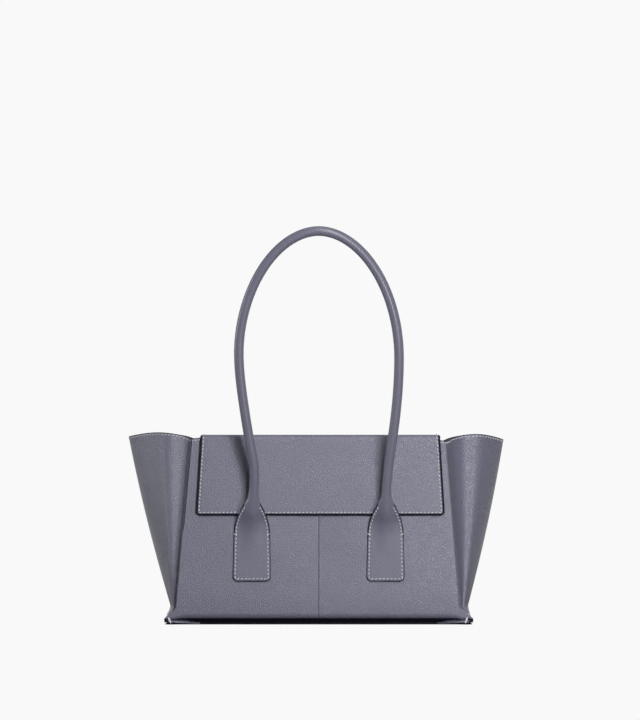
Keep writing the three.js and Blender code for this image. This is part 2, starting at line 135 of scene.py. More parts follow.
def linear(red: int, green: int, blue: int) -> tuple[float, float, float, float]:
    """Returns a colour given in screen values from 0 to 255 as a shader's linear colour."""

    def channel(value: int) -> float:
        """Returns one channel in linear light."""
        share = value / 255.0
        return share / 12.92 if share <= 0.04045 else ((share + 0.055) / 1.055) ** 2.4

    return (channel(red), channel(green), channel(blue), 1.0)


class Wire:
    """A value in a node tree. Arithmetic on it adds Math nodes."""

    def __init__(self, board: "NodeBoard", socket: bpy.types.NodeSocket) -> None:
        """Wraps an output socket of a board."""
        self.board = board
        self.socket = socket

    def math(self, operation: str, first: Any, second: Any) -> "Wire":
        """Adds a Math node.

        Args:
            operation: Name of the node's operation.
            first: Wire or number on the first socket.
            second: Wire or number on the second socket.

        Returns:
            The node's value.
        """
        return self.board.add("ShaderNodeMath", {0: first, 1: second}, {"operation": operation})

    def __add__(self, other: Any) -> "Wire":
        """Returns self + other."""
        return self.math("ADD", self, other)

    __radd__ = __add__

    def __sub__(self, other: Any) -> "Wire":
        """Returns self - other."""
        return self.math("SUBTRACT", self, other)

    def __rsub__(self, other: Any) -> "Wire":
        """Returns other - self."""
        return self.math("SUBTRACT", other, self)

    def __mul__(self, other: Any) -> "Wire":
        """Returns self * other."""
        return self.math("MULTIPLY", self, other)

    __rmul__ = __mul__


class NodeBoard:
    """A node tree, filled from expressions."""

    def __init__(self, tree: bpy.types.NodeTree) -> None:
        """Empties the tree and keeps it."""
        self.tree = tree
        tree.nodes.clear()

    def add(self, kind: str, inputs: Values = None, settings: Values = None, output: Any = 0) -> Wire:
        """Adds a node.

        Args:
            kind: Type name of the node.
            inputs: Values or wires of its sockets, by name or number.
            settings: Its own settings, set first.
            output: Name or number of the output socket to return.

        Returns:
            The output as a wire.
        """
        node = self.tree.nodes.new(kind)
        for name, value in (settings or {}).items():
            setattr(node, name, value)
        for name, value in (inputs or {}).items():
            if isinstance(value, Wire):
                self.tree.links.new(value.socket, node.inputs[name])
            else:
                node.inputs[name].default_value = value
        return Wire(self, node.outputs[output]) if len(node.outputs) else Wire(self, None)

    def place(self) -> Wire:
        """Returns the place on the object."""
        return self.add("ShaderNodeTexCoord", output="Object")

    def mix(self, share: Any, first: Any, second: Any) -> Wire:
        """Returns the colour at a share of the way from first to second."""
        return self.add("ShaderNodeMix", {0: share, 6: first, 7: second}, {"data_type": "RGBA"}, 2)

    def noise(self, place: Wire, size: float, detail: float = 2.0) -> Wire:
        """Returns soft noise from 0 to 1 whose blotches have a size in metres."""
        return self.add("ShaderNodeTexNoise", {"Vector": place, "Scale": 1.0 / size, "Detail": detail})

    def bump(self, height: Wire, depth: float, strength: float) -> Wire:
        """Returns the normal of a surface with a relief that is depth metres deep."""
        return self.add("ShaderNodeBump", {"Height": height, "Distance": depth, "Strength": strength})


def shade(colour: tuple[float, ...], level: float) -> tuple[float, ...]:
    """Returns a linear colour made lighter or darker."""
    return tuple(level * value for value in colour[:3]) + (1.0,)


def new_material(name: str) -> tuple[bpy.types.Material, NodeBoard]:
    """Returns a new material with its empty node tree."""
    material = bpy.data.materials.new(name)
    material.use_nodes = True
    return material, NodeBoard(material.node_tree)


def finish_material(board: NodeBoard, inputs: dict[str, Any]) -> None:
    """Ends a node tree in a Principled shader with these inputs."""
    shader = board.add("ShaderNodeBsdfPrincipled", inputs)
    board.add("ShaderNodeOutputMaterial", {"Surface": shader})


@dataclass(frozen=True)
class LeatherFinish:
    """Dyed leather with a pebbled grain.

    Attributes:
        colour: Dye, in screen values.
        pebble: Size of one pebble of the grain.
        rolled: Whether the piece's attribute of that name tells where the grain is rolled smooth.
        polish: Share of its roughness that the leather loses there.
        blotch: Size of the soft blotches in the dye.
    """

    name: str
    colour: tuple[int, int, int]
    pebble: float
    relief: float
    roughness: float
    gloss: float
    rolled: bool = False
    polish: float = 0.34
    blotch: float = 0.035

    def material(self) -> bpy.types.Material:
        """Returns the material."""
        material, board = new_material(self.name)
        place = board.place()
        cells = {"Vector": place, "Scale": 1.0 / self.pebble, "Randomness": 0.95}
        edges = board.add("ShaderNodeTexVoronoi", cells, {"feature": "DISTANCE_TO_EDGE"}, "Distance")
        rise = {"Value": edges, "From Min": 0.0, "From Max": 0.3}
        dome = board.add("ShaderNodeMapRange", rise, {"interpolation_type": "SMOOTHSTEP"})
        pores = board.noise(place, self.pebble * 0.3, 2.0)
        mottle = board.noise(place, self.pebble * 1.7, 2.0)
        blotches = board.noise(place, self.blotch, 3.0)
        dye = linear(*self.colour)
        ground = board.mix(blotches, shade(dye, 0.98), shade(dye, 1.09))
        colour = board.mix(dome * 0.55 + mottle * 0.45, shade(dye, 0.76), ground)
        height = dome * 0.8 + pores * 0.12 + mottle * 0.35
        roughness = self.roughness - 0.06 + mottle * 0.12
        if self.rolled:
            rolled = board.add("ShaderNodeAttribute", settings={"attribute_name": "rolled"}, output="Fac")
            height = height * (1.0 - rolled)
            roughness = roughness * (1.0 - rolled * self.polish)
        inputs = {
            "Base Color": colour,
            "Roughness": roughness,
            "Specular IOR Level": self.gloss,
            "Normal": board.bump(height, self.relief, 0.8),
        }
        finish_material(board, inputs)
        return material


@dataclass(frozen=True)
class PlainFinish:
    """Paint, thread, board, steel or cord, whose colour, roughness and relief follow one fine noise.

    Attributes:
        colour: Colour, in screen values.
        speck: Size of the noise's specks.
        roughness: Roughness where the noise is low and where it is high.
        relief: Depth and strength of the relief.
        levels: Brightness of the colour there.
        detail: Number of the noise's finer layers.
        metallic: 1 for metal.
    """

    name: str
    colour: tuple[int, int, int]
    speck: float
    roughness: tuple[float, float]
    relief: tuple[float, float]
    levels: tuple[float, float] = (0.75, 1.0)
    detail: float = 4.0
    gloss: float = 0.5
    sheen: float = 0.0
    metallic: float = 0.0

    def material(self) -> bpy.types.Material:
        """Returns the material."""
        material, board = new_material(self.name)
        specks = board.noise(board.place(), self.speck, self.detail)
        low, high = (shade(linear(*self.colour), level) for level in self.levels)
        smooth_level, rough_level = self.roughness
        inputs = {
            "Base Color": board.mix(specks, low, high),
            "Roughness": smooth_level + specks * (rough_level - smooth_level),
            "Specular IOR Level": self.gloss,
            "Sheen Weight": self.sheen,
            "Metallic": self.metallic,
            "Normal": board.bump(specks, *self.relief),
        }
        finish_material(board, inputs)
        return material


@dataclass(frozen=True)
class TwillFinish:
    """Twill lining cloth, whose crossing diagonal ribs are spaced by rib."""

    name: str = "lining_twill"
    colour: tuple[int, int, int] = (112, 108, 112)
    rib: float = 0.0011

    def material(self) -> bpy.types.Material:
        """Returns the material."""
        material, board = new_material(self.name)
        place = board.place()
        turn = 2.0 * math.pi / self.rib

        def ribs(direction: tuple[float, float, float]) -> Wire:
            """Returns ribs across a direction, from 0 to 1."""
            dot = {"operation": "DOT_PRODUCT"}
            phase = board.add("ShaderNodeVectorMath", {0: place, 1: direction}, dot, "Value") * turn
            return phase.math("SINE", phase, 0.0) * 0.5 + 0.5

        warp = ribs((0.7, 0.7, 0.7))
        weft = ribs((0.7, 0.7, -0.7))
        weave = warp * 0.65 + weft * 0.35
        slubs = board.noise(place, 0.004, 3.0)
        base = linear(*self.colour)
        inputs = {
            "Base Color": board.mix(weave * 0.7 + slubs * 0.3, shade(base, 0.7), base),
            "Roughness": 0.82 + slubs * 0.1,
            "Sheen Weight": 0.15,
            "Normal": board.bump(weave + slubs * 0.4, 0.00018, 0.6),
        }
        finish_material(board, inputs)
        return material


class Palette:
    """Every finish of the bag, made once."""

    def __init__(self) -> None:
        """Makes the materials."""
        hide = LeatherFinish("grained_leather", (118, 118, 137), 0.0018, 0.00026, 0.40, 0.65)
        handle = LeatherFinish("handle_leather", (116, 116, 134), 0.0015, 0.00020, 0.50, 0.54, rolled=True)
        self.hide = hide.material()
        self.handle = handle.material()
        # Dark edge paint, which also serves as painted shade under the foot and along the base's middle
        # edges.
        paint = PlainFinish(
            "edge_paint_and_shade", (24, 24, 34), 0.0016, (0.45, 0.59), (0.0001, 0.5), (1.0, 1.5), 2.0, gloss=0.15
        )
        thread = PlainFinish(
            "thread", (228, 227, 235), 0.0004, (0.5, 0.7), (0.00008, 0.6), (0.72, 1.0), 1.0, sheen=0.3
        )
        board = PlainFinish("fibre_board", (92, 88, 82), 0.0015, (0.77, 0.93), (0.0003, 0.4))
        steel = PlainFinish(
            "magnet_steel", (168, 170, 173), 0.0008, (0.3, 0.46), (0.00016, 0.4), metallic=1.0
        )
        cord = PlainFinish("handle_cord", (201, 196, 184), 0.0009, (0.82, 0.98), (0.00018, 0.4))
        self.paint = paint.material()
        self.thread = thread.material()
        self.lining = TwillFinish().material()
        self.board = board.material()
        self.steel = steel.material()
        self.cord = cord.material()


def select_only(*objects: Piece) -> None:
    """Selects these objects alone, with the first one active."""
    bpy.ops.object.select_all(action="DESELECT")
    for obj in objects:
        obj.select_set(True)
    bpy.context.view_layer.objects.active = objects[0]


def lay_grid(name: str, columns: Sequence[float], rows: Sequence[float], place: Place) -> Piece:
    """Adds a flat grid and lays each of its points on a surface.

    Args:
        name: Name of the piece.
        columns: The surface's first parameter at each column.
        rows: Its second parameter at each row.
        place: The surface. Its first direction crossed with its second points out.

    Returns:
        The new object.
    """
    bpy.ops.object.select_all(action="DESELECT")
    across, up = len(columns) - 1, len(rows) - 1
    bpy.ops.mesh.primitive_grid_add(x_subdivisions=across, y_subdivisions=up, size=2.0)
    obj = bpy.context.object
    obj.name = name
    obj.data.name = name
    for vertex in obj.data.vertices:
        column = round((vertex.co.x + 1.0) / 2.0 * across)
        row = round((vertex.co.y + 1.0) / 2.0 * up)
        vertex.co = place(columns[column], rows[row])
    return obj


def edit_all(obj: Piece, *operations: Callable[[], Any]) -> None:
    """Runs mesh operators on everything in an object."""
    select_only(obj)
    bpy.ops.object.mode_set(mode="EDIT")
    bpy.ops.mesh.select_all(action="SELECT")
    for operation in operations:
        operation()
    bpy.ops.object.mode_set(mode="OBJECT")


def select_faces(obj: Piece, chosen: Callable[[bpy.types.MeshPolygon], bool]) -> None:
    """Opens an object for editing with the chosen faces selected."""
    select_only(obj)
    bpy.ops.object.mode_set(mode="EDIT")
    bpy.ops.mesh.select_mode(type="FACE")
    bpy.ops.mesh.select_all(action="DESELECT")
    bpy.ops.object.mode_set(mode="OBJECT")
    for polygon in obj.data.polygons:
        polygon.select = chosen(polygon)
    bpy.ops.object.mode_set(mode="EDIT")


def weld(obj: Piece, distance: float = 1e-5) -> None:
    """Merges the points of an object that lie on each other."""
    edit_all(obj, lambda: bpy.ops.mesh.remove_doubles(threshold=distance))


def flip(obj: Piece) -> None:
    """Turns the faces of an object round."""
    edit_all(obj, bpy.ops.mesh.flip_normals)


def join(name: str, objects: Sequence[Piece]) -> Piece:
    """Joins objects into one with a name and returns it."""
    select_only(*objects)
    bpy.ops.object.join()
    joined = bpy.context.view_layer.objects.active
    joined.name = name
    joined.data.name = name
    return joined


def modify(obj: Piece, kind: str, **settings: Any) -> None:
    """Adds a modifier with these settings and applies it."""
    select_only(obj)
    modifier = obj.modifiers.new(kind.title(), kind)
    for name, value in settings.items():
        setattr(modifier, name, value)
    bpy.ops.object.modifier_apply(modifier=modifier.name)


def mark_border(obj: Piece, is_cut: Callable[[Vector], bool]) -> None:
    """Puts the points on the cut border of an open sheet into a group.

    Args:
        obj: The sheet.
        is_cut: Whether the border is a cut edge at a place, and not a seam.
    """
    uses = Counter(key for polygon in obj.data.polygons for key in polygon.edge_keys)
    border = {i for key, count in uses.items() if count == 1 for i in key}
    group = obj.vertex_groups.new(name="border")
    group.add([i for i in border if is_cut(obj.data.vertices[i].co)], 1.0, "REPLACE")


def thicken(obj: Piece, thickness: float, offset: float = -1.0) -> None:
    """Gives a sheet its thickness, behind its face unless the offset says otherwise."""
    even = {"use_even_offset": True, "use_quality_normals": True}
    modify(obj, "SOLIDIFY", thickness=thickness, offset=offset, **even)


def paint_border(obj: Piece, width: float, segments: int = 3) -> None:
    """Paints the cut edges with the second material, rounded, with the paint over the rounding.

    Args:
        obj: A thickened sheet whose border was marked.
        width: Width of the rounding.
        segments: Number of faces across it.
    """
    mesh = obj.data
    in_border = [any(entry.weight > 0.5 for entry in vertex.groups) for vertex in mesh.vertices]
    sides: Counter = Counter()
    for polygon in mesh.polygons:
        painted = all(in_border[i] for i in polygon.vertices)
        polygon.material_index = int(painted)
        for key in polygon.edge_keys:
            sides[key] += int(painted)
    weights = mesh.attributes.new("bevel_weight_edge", "FLOAT", "EDGE")
    for edge in mesh.edges:
        weights.data[edge.index].value = 1.0 if sides[edge.key] == 1 else 0.0
    where = {"limit_method": "WEIGHT", "material": 1, "use_clamp_overlap": False}
    modify(obj, "BEVEL", width=width, segments=segments, **where)
    obj.vertex_groups.clear()
    smooth(obj)


def smooth(obj: Piece, degrees: float = 42.0) -> None:
    """Shades an object smooth, apart from edges sharper than an angle."""
    select_only(obj)
    bpy.ops.object.shade_smooth_by_angle(angle=math.radians(degrees))


def dress(obj: Piece, *materials: bpy.types.Material) -> None:
    """Gives an object its materials in order."""
    obj.data.materials.clear()
    for material in materials:
        obj.data.materials.append(material)


def set_on_bag(obj: Piece, slot: Optional[str], *nodes: str) -> None:
    """Fixes a piece to the bag's body and hides the CAD nodes that it replaces."""
    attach(obj, "bag")
    if nodes:
        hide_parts(*nodes)
    log.info("%s rides on bag", obj.name)


@dataclass(frozen=True)
class Thread:
    """A row of stitches.

    Attributes:
        slant: Turn of each stitch out of the row.
        stand: How far its middle stands off the leather, as a share of the thickness.
    """

    material: bpy.types.Material
    length: float = 0.0028
    thickness: float = 0.0010
    pitch: float = 0.0038
    slant: float = math.radians(14.0)
    stand: float = 0.12

    def one_stitch(self) -> Piece:
        """Returns one stitch along X, at the origin."""
        bpy.ops.object.select_all(action="DESELECT")
        bpy.ops.mesh.primitive_uv_sphere_add(segments=6, ring_count=4, radius=0.5)
        stitch = bpy.context.object
        size = (self.thickness, self.thickness, self.length)
        turn = {"value": math.pi / 2.0, "orient_axis": "Y", "center_override": (0.0, 0.0, 0.0)}
        edit_all(
            stitch,
            lambda: bpy.ops.transform.resize(value=size),
            lambda: bpy.ops.transform.rotate(**turn),
        )
        return stitch

    def sew(self, name: str, path: SeamPath) -> Piece:
        """Sews a row of stitches.

        Args:
            name: Name of the row.
            path: Points of the row, each with the outward direction there.

        Returns:
            The row as one object.
        """
        pattern = self.one_stitch()
        stitches = []
        for point, along, out in self.walk(path):
            across = out.cross(along).normalized()
            along = along * math.cos(self.slant) + across * math.sin(self.slant)
            across = out.cross(along).normalized()
            turn = Matrix((along, across, out)).transposed().to_4x4()
            mesh = pattern.data.copy()
            mesh.transform(Matrix.Translation(point + out * self.thickness * self.stand) @ turn)
            stitch = bpy.data.objects.new(name, mesh)
            bpy.context.collection.objects.link(stitch)
            stitches.append(stitch)
        bpy.data.objects.remove(pattern)
        row = join(name, stitches)
        dress(row, self.material)
        bpy.ops.object.shade_smooth()
        return row

    def walk(self, path: SeamPath) -> list[tuple[Vector, Vector, Vector]]:
        """Returns the place, the direction along the row and the outward direction of each stitch."""
        lengths = [0.0]
        for (before, _), (after, _) in zip(path, path[1:]):
            lengths.append(lengths[-1] + (after - before).length)
        count = max(1, round(lengths[-1] / self.pitch))
        places = []
        leg = 0
        for i in range(count):
            distance = lengths[-1] * (i + 0.5) / count
            while lengths[leg + 1] < distance:
                leg += 1
            share = (distance - lengths[leg]) / (lengths[leg + 1] - lengths[leg])
            (start, start_out), (end, end_out) = path[leg], path[leg + 1]
            along = (end - start).normalized()
            out = start_out.lerp(end_out, share)
            out = (out - along * out.dot(along)).normalized()
            places.append((start.lerp(end, share), along, out))
        return places


@dataclass(frozen=True)
class WingShape:
    """One wing, as the leather has settled.

    Attributes:
        reach: How far the tip stands out past the crease at the rim.
        foot: Distance of the crease's foot from the middle.
        tip_foot: Distance of the foot of the tip's line from the middle.
        tip_place: Share of the way from the front crease to the back one at which the tip lies.
        facing: Shares of the way out from crease to tip, each with how many degrees the leather
            there has turned from facing forwards to facing sideways.
        lift: How much higher this side's rim stands than the middle.
        crown: Rise of the top edge between crease and tip.
        dip: How far the rim dips at the crease.
        dip_width: Half width of that dip.
        tip_rise: How much higher the tip stands than the rim.
        bulge: How far the leather bulges forwards and backwards at the rim.
        bulge_place: Share of the way out at which it does.
        bulge_width: Half width of that bulge, as a share of the way out.
        ear_curl: How sharply the leather turns out into the sewn end seam.
        crease_round: Radius of the crease.
    """

    reach: float
    foot: float
    tip_foot: float
    tip_place: float
    facing: tuple[tuple[float, float], ...]
    lift: float
    crown: float
    dip: float
    dip_width: float
    tip_rise: float
    bulge: float
    bulge_place: float
    bulge_width: float
    ear_curl: float
    crease_round: float

    def turned(self, share: float) -> float:
        """Returns how far the leather has turned sideways at a share of the way out."""
        shares, degrees = zip(*self.facing)
        return math.radians(look_up(shares, degrees, share))

    @lru_cache(maxsize=None)
    def plan(self) -> tuple[list[float], list[float]]:
        """Returns the plan's points from crease to tip, as shares of the way back and of the way out."""
        count = 400
        backs = [0.0]
        for i in range(count):
            backs.append(backs[-1] + math.tan(self.turned((i + 0.5) / count)) / count)
        return [back / backs[-1] for back in backs], steps(0.0, 1.0, count)

    @lru_cache(maxsize=None)
    def runs(self) -> list[float]:
        """Returns the length of the plan up to each of its points, in shares of the reach."""
        points = list(zip(*self.plan()))
        runs = [0.0]
        for before, after in zip(points, points[1:]):
            runs.append(runs[-1] + math.dist(before, after))
        return runs

    def back_at(self, run: float) -> float:
        """Returns how far back the plan has come at a share of its length."""
        return look_up(self.runs(), self.plan()[0], run * self.runs()[-1])

    def swing(self, back: float) -> float:
        """Returns how far out the plan has come at a share of the way back."""
        return look_up(*self.plan(), back)


LEFT_WING = WingShape(
    reach=0.0670, foot=0.1455, tip_foot=0.1465, tip_place=0.51,
    facing=((0.0, 87.0), (0.012, 84.0), (0.03, 45.0), (0.06, 5.0), (0.27, 2.0), (0.54, 46.0), (1.0, 57.0)),
    lift=0.0012, crown=0.0044, dip=0.0012, dip_width=0.006, tip_rise=0.0014,
    bulge=0.0036, bulge_place=0.37, bulge_width=0.17, ear_curl=1.15, crease_round=0.0008,
)
RIGHT_WING = WingShape(
    reach=0.0626, foot=0.1440, tip_foot=0.1487, tip_place=0.57,
    facing=((0.0, 84.0), (0.03, 82.0), (0.12, 74.0), (0.25, 55.0), (0.40, 5.0), (0.46, 2.0), (0.66, 59.0),
            (1.0, 71.0)),
    lift=-0.0009, crown=0.0054, dip=0.0018, dip_width=0.006, tip_rise=0.0006,
    bulge=0.0006, bulge_place=0.50, bulge_width=0.09, ear_curl=1.05, crease_round=0.0020,
)


@dataclass(frozen=True)
class BagForm:
    """Outer faces of the bag's body.

    Attributes:
        rim_width: Width between the creases at the rim.
        foot_radius: Radius of the roll along the foot of the long walls.
        foot_turn: How far the leather turns under in it.
        foot_height: Height at which it ends.
        foot_tuck: How far the leather goes on under the bag after the roll.
        sole: Height at which the leather meets the base there.
        seat: Height of the leather's lowest point at the corners, on the base's raised ends.
        ear_height: Height at which the wing turns out into the end seam.
        ear_tip: Height of that seam's upper edge.
        base_half: Half the length of the base, out to the edges of the ears.
        crease_draw: How far the creases' feet are drawn in from the corners.
        foot_draw: How far the long walls are drawn in at the foot.
        foot_zone: Height over which they are.
        wing_belly: Outward swell of the wing.
        tip_round_rim: Share of the way to the crease over which the tip is rounded at the rim.
        tip_round_low: The same in the lower half.
    """

    base_depth: float = 0.130
    rim_width: float = 0.255
    rim_depth: float = 0.116
    rim_height: float = 0.1856
    foot_radius: float = 0.0070
    foot_turn: float = math.radians(55.0)
    foot_height: float = 0.0062
    foot_tuck: float = 0.0060
    sole: float = 0.0019
    seat: float = 0.0040
    ear_height: float = 0.0158
    ear_tip: float = 0.0058
    base_half: float = 0.1542
    crease_draw: float = 0.0018
    foot_draw: float = 0.0025
    foot_zone: float = 0.035
    wing_belly: float = 0.0028
    tip_round_rim: float = 0.10
    tip_round_low: float = 0.30

    @staticmethod
    def wing(side: Side) -> WingShape:
        """Returns the shape of a side's wing."""
        return LEFT_WING if side is Side.LEFT else RIGHT_WING

    def half_depth(self, z: float) -> float:
        """Returns half the depth of the body at a height."""
        drawn = self.foot_draw * max(0.0, 1.0 - z / self.foot_zone) ** 2
        return lerp(self.base_depth / 2.0, self.rim_depth / 2.0, z / self.rim_height) - drawn

    def foot_depth(self, z: float) -> float:
        """Returns half the depth of the long walls at a height, drawn in round the roll at the foot."""
        top = self.foot_height + self.foot_radius * math.sin(self.foot_turn)
        if z >= top:
            return self.half_depth(z)
        down = min(1.0, (top - z) / self.foot_radius)
        return self.half_depth(top) - self.foot_radius * (1.0 - math.sqrt(1.0 - down**2))

    def crease_x(self, side: Side, z: float) -> float:
        """Returns the distance of a side's creases from the middle at a height."""
        foot = self.wing(side).foot - self.crease_draw
        return lerp(foot, self.rim_width / 2.0, z / self.rim_height)

    def wing_swing(self, side: Side, s: float, z: float) -> float:
        """Returns the share of its reach that a wing has swung out.

        Args:
            side: Which wing.
            s: Share of the way from the front crease to the back one.
            z: Height.

        Returns:
            0 at the creases and 1 at the tip.
        """
        wing = self.wing(side)
        tip = wing.tip_place
        half = s / tip if s < tip else (1.0 - s) / (1.0 - tip)
        rounding = self.tip_rounding(z)
        whole = math.hypot(1.0, rounding)
        return wing.swing((whole - math.hypot(1.0 - half, rounding)) / (whole - rounding))

    def tip_rounding(self, z: float) -> float:
        """Returns the share of the way to the crease over which the tip is rounded at a height."""
        return lerp(self.tip_round_low, self.tip_round_rim, ease(z / self.rim_height, 0.55, 1.0))

    def wing_share(self, side: Side, u: float, z: float) -> float:
        """Returns the share of the way from a wing's front crease to its back one.

        Args:
            side: Which wing.
            u: 0 at the front crease, 1 at the tip, 2 at the back crease, even along the leather.
            z: Height.

        Returns:
            The share.
        """
        wing = self.wing(side)
        rounding = self.tip_rounding(z)
        whole = math.hypot(1.0, rounding)
        rest = whole - wing.back_at(min(u, 2.0 - u)) * (whole - rounding)
        half = 1.0 - math.sqrt(max(0.0, rest**2 - rounding**2))
        return wing.tip_place * half if u < 1.0 else 1.0 - (1.0 - wing.tip_place) * half

    def dip(self, side: Side, distance: float) -> float:
        """Returns how far the rim dips at a distance from a crease."""
        wing = self.wing(side)
        return wing.dip * bell(distance, wing.dip_width)

    def rim(self, x: float) -> float:
        """Returns the height of the long walls' rim at a distance from the middle."""
        side = Side.of(x)
        crease = self.rim_width / 2.0
        return self.rim_height + self.wing(side).lift * (x / crease) ** 2 - self.dip(side, crease - abs(x))

    def wing_top(self, side: Side, s: float) -> float:
        """Returns the height of a wing's top edge."""
        return self.top_at(side, self.wing(side).reach * self.wing_swing(side, s, self.rim_height))

    def top_at(self, side: Side, out: float) -> float:
        """Returns the height of a wing's top edge at a distance out from the crease."""
        wing = self.wing(side)
        swing = min(1.0, max(0.0, out / wing.reach))
        crown = wing.crown * math.sin(math.pi * swing) + wing.tip_rise * swing
        return self.rim_height + wing.lift + crown - self.dip(side, wing.reach * swing)

    def wing_point(self, side: Side, s: float, z: float) -> Vector:
        """Returns a point on the outer face of a wing."""
        wing = self.wing(side)
        rise = z / self.rim_height
        belly = self.wing_belly * 4.0 * rise * (1.0 - rise)
        reach = lerp(wing.tip_foot - wing.foot + self.crease_draw, wing.reach, rise) + belly
        swing = self.wing_swing(side, s, z)
        x = self.crease_x(side, z) + reach * swing
        bulge = wing.bulge * rise * bell(swing - wing.bulge_place, wing.bulge_width)
        y = self.half_depth(z) * (2.0 * s - 1.0)
        return Vector((side.value * x, y + math.copysign(bulge, y), z))

    def wing_out(self, side: Side, s: float, z: float) -> Vector:
        """Returns the level direction that points out of a wing."""
        step = 0.0006
        along = self.wing_point(side, min(1.0, s + step), z) - self.wing_point(side, max(0.0, s - step), z)
        return Vector((along.y, -along.x, 0.0)).normalized() * side.value


@dataclass
class BodyHalf:
    """One leather half of the body, from the centre-front seam round the wing to the centre-back seam.

    Attributes:
        seam_gap: Half the gap between the halves.
        seam_round: Radius at which the leather turns in at the centre seams.
        swell: How far the long walls swell out.
        ripple: Depth of the faint waves in them.
        ripples: Number of waves in a metre.
        corner: Share of the way to the crease at which the foot begins to lift to the ear.
        fold_angle: Turn from which a crease is rounded.
        stitch_inset: Distance of the stitches from the top edge.
        ear_seam_place: Share of the way up the ear at which it is sewn.
        ear_start: Distance from the crease's foot to the painted end of the ear.
    """

    form: BagForm
    palette: Palette
    side: Side
    leather: float = 0.0018
    seam_gap: float = 0.00003
    seam_round: float = 0.0007
    edge_round: float = 0.0007
    swell: float = 0.0012
    ripple: float = 0.0005
    ripples: float = 16.0
    corner: float = 0.93
    fold_angle: float = math.radians(38.0)
    stitch_inset: float = 0.0022
    ear_seam_place: float = 0.3
    ear_start: float = 0.0042

    def panel_point(self, wall: Wall, q: float, h: float) -> Vector:
        """Returns a point on a long wall.

        Args:
            wall: Front or back.
            q: 0 at the centre seam, 1 at the crease.
            h: -2 to -1 under the bag, -1 to 0 round the roll at the foot, 0 to 1 up to the ears,
                1 to 2 up to the rim.

        Returns:
            The point, as if on the right.
        """
        form = self.form
        corner = ease(q, self.corner, 1.0)
        drop = math.sin(form.foot_turn)
        low = lerp(form.foot_height, form.seat, corner)
        roll_top = lerp(form.foot_height + form.foot_radius * drop, form.ear_tip, corner)
        radius = (roll_top - low) / drop
        if h < -1.0:
            z = lerp(low, lerp(form.sole, form.seat, corner), -1.0 - h)
            y = form.half_depth(roll_top) - radius * (1.0 - math.cos(form.foot_turn))
            y += (h + 1.0) * form.foot_tuck
        elif h < 0.0:
            angle = -h * form.foot_turn
            z = roll_top - radius * math.sin(angle)
            y = form.half_depth(roll_top) - radius * (1.0 - math.cos(angle))
        else:
            top = form.rim(self.side.value * q * form.rim_width / 2.0)
            z = lerp(roll_top, form.ear_height, h) if h < 1.0 else lerp(form.ear_height, top, h - 1.0)
            y = form.half_depth(z)
        crease = form.crease_x(self.side, z)
        x = lerp(self.seam_gap, crease, q)
        if h < 1.0:
            x += corner * (self.ear_point(0.0, max(0.0, h)).x - crease)
        y -= corner_cut(self.seam_round, x - self.seam_gap)
        rise = min(1.0, max(0.0, z / form.rim_height))
        window = math.sin(math.pi * q) * math.sin(math.pi * rise)
        wave = noise.noise(Vector((x * self.ripples, z * self.ripples, 3.0 * wall.value)))
        y += window * (self.swell + self.ripple * wave)
        return Vector((x, wall.value * y, z))

    def ear_point(self, s: float, h: float) -> Vector:
        """Returns a point on the slant of the ear.

        Args:
            s: Share of the way from the front crease to the back one.
            h: 0 at the ear's edge, 1 where the wing begins.

        Returns:
            The point, as if on the right.
        """
        form = self.form
        z = lerp(form.ear_tip, form.ear_height, h)
        flare = (1.0 - h) ** form.wing(self.side).ear_curl
        upper = abs(form.wing_point(self.side, s, form.ear_height).x)
        return Vector((lerp(upper, form.base_half, flare), form.half_depth(z) * (2.0 * s - 1.0), z))

    def wing_sheet_point(self, u: float, h: float) -> Vector:
        """Returns a point on the wing.

        Args:
            u: 0 at the front crease, 1 at the tip, 2 at the back crease, even along the leather.
            h: 0 to 1 up the slant of the ear, 1 to 2 up to the top edge.

        Returns:
            The point, as if on the right.
        """
        form = self.form
        if h < 1.0:
            return self.ear_point(form.wing_share(self.side, u, form.ear_height), h)
        top = form.wing_top(self.side, form.wing_share(self.side, u, form.rim_height))
        z = lerp(form.ear_height, top, h - 1.0)
        point = form.wing_point(self.side, form.wing_share(self.side, u, z), z)
        return Vector((abs(point.x), point.y, point.z))

    def build(self) -> Piece:
        """Returns the finished half."""
        form, wing = self.form, self.form.wing(self.side)
        shared = steps(1.0, 1.97, 38) + [1.985, 1.993, 2.0]
        seam = [0.0, 0.0015, 0.003, 0.005, 0.0075, 0.012]
        near = [1.25 * wing.crease_round * i for i in range(4)]
        edge = [1.0 - inset / (form.rim_width / 2.0) for inset in reversed(near)]
        columns = seam + steps(0.03, edge[0] - 0.012, 40) + edge
        ears = steps(0.0, 0.8, 4)
        foot = steps(-2.0, -1.0, 6)[:-1] + steps(-1.0, 0.0, 8)[:-1] + ears
        bend = [back / (wing.reach * wing.runs()[-1]) for back in near]
        wing_columns = bend + steps(bend[-1] + 0.01, 0.94, 46) + [0.955, 0.968, 0.979, 0.988, 0.995]
        wing_columns += [1.0] + [2.0 - u for u in reversed(wing_columns)]
        back_columns = [1.0 - q for q in reversed(columns)]
        rows = foot + shared
        zones = [
            lay_grid("front", columns, rows, lambda q, h: self.panel_point(Wall.FRONT, q, h)),
            lay_grid("wing", wing_columns, ears + shared, self.wing_sheet_point),
            lay_grid("back", back_columns, rows, lambda q, h: self.panel_point(Wall.BACK, 1.0 - q, h)),
        ]
        half = join(f"body_half_{self.side.name.lower()}", zones)
        weld(half)
        if self.side is Side.LEFT:
            half.data.transform(Matrix.Scale(-1.0, 4, Vector((1.0, 0.0, 0.0))))
            flip(half)
        dress(half, self.palette.hide, self.palette.paint)
        fold = {"width": wing.crease_round, "segments": 4, "angle_limit": self.fold_angle}
        modify(half, "BEVEL", limit_method="ANGLE", **fold)
        mark_border(half, lambda place: place.z > form.rim_height / 2.0 and abs(place.x) > 0.002)
        thicken(half, self.leather)
        paint_border(half, self.edge_round)
        self.paint_ears_and_foot_shade(half)
        return half

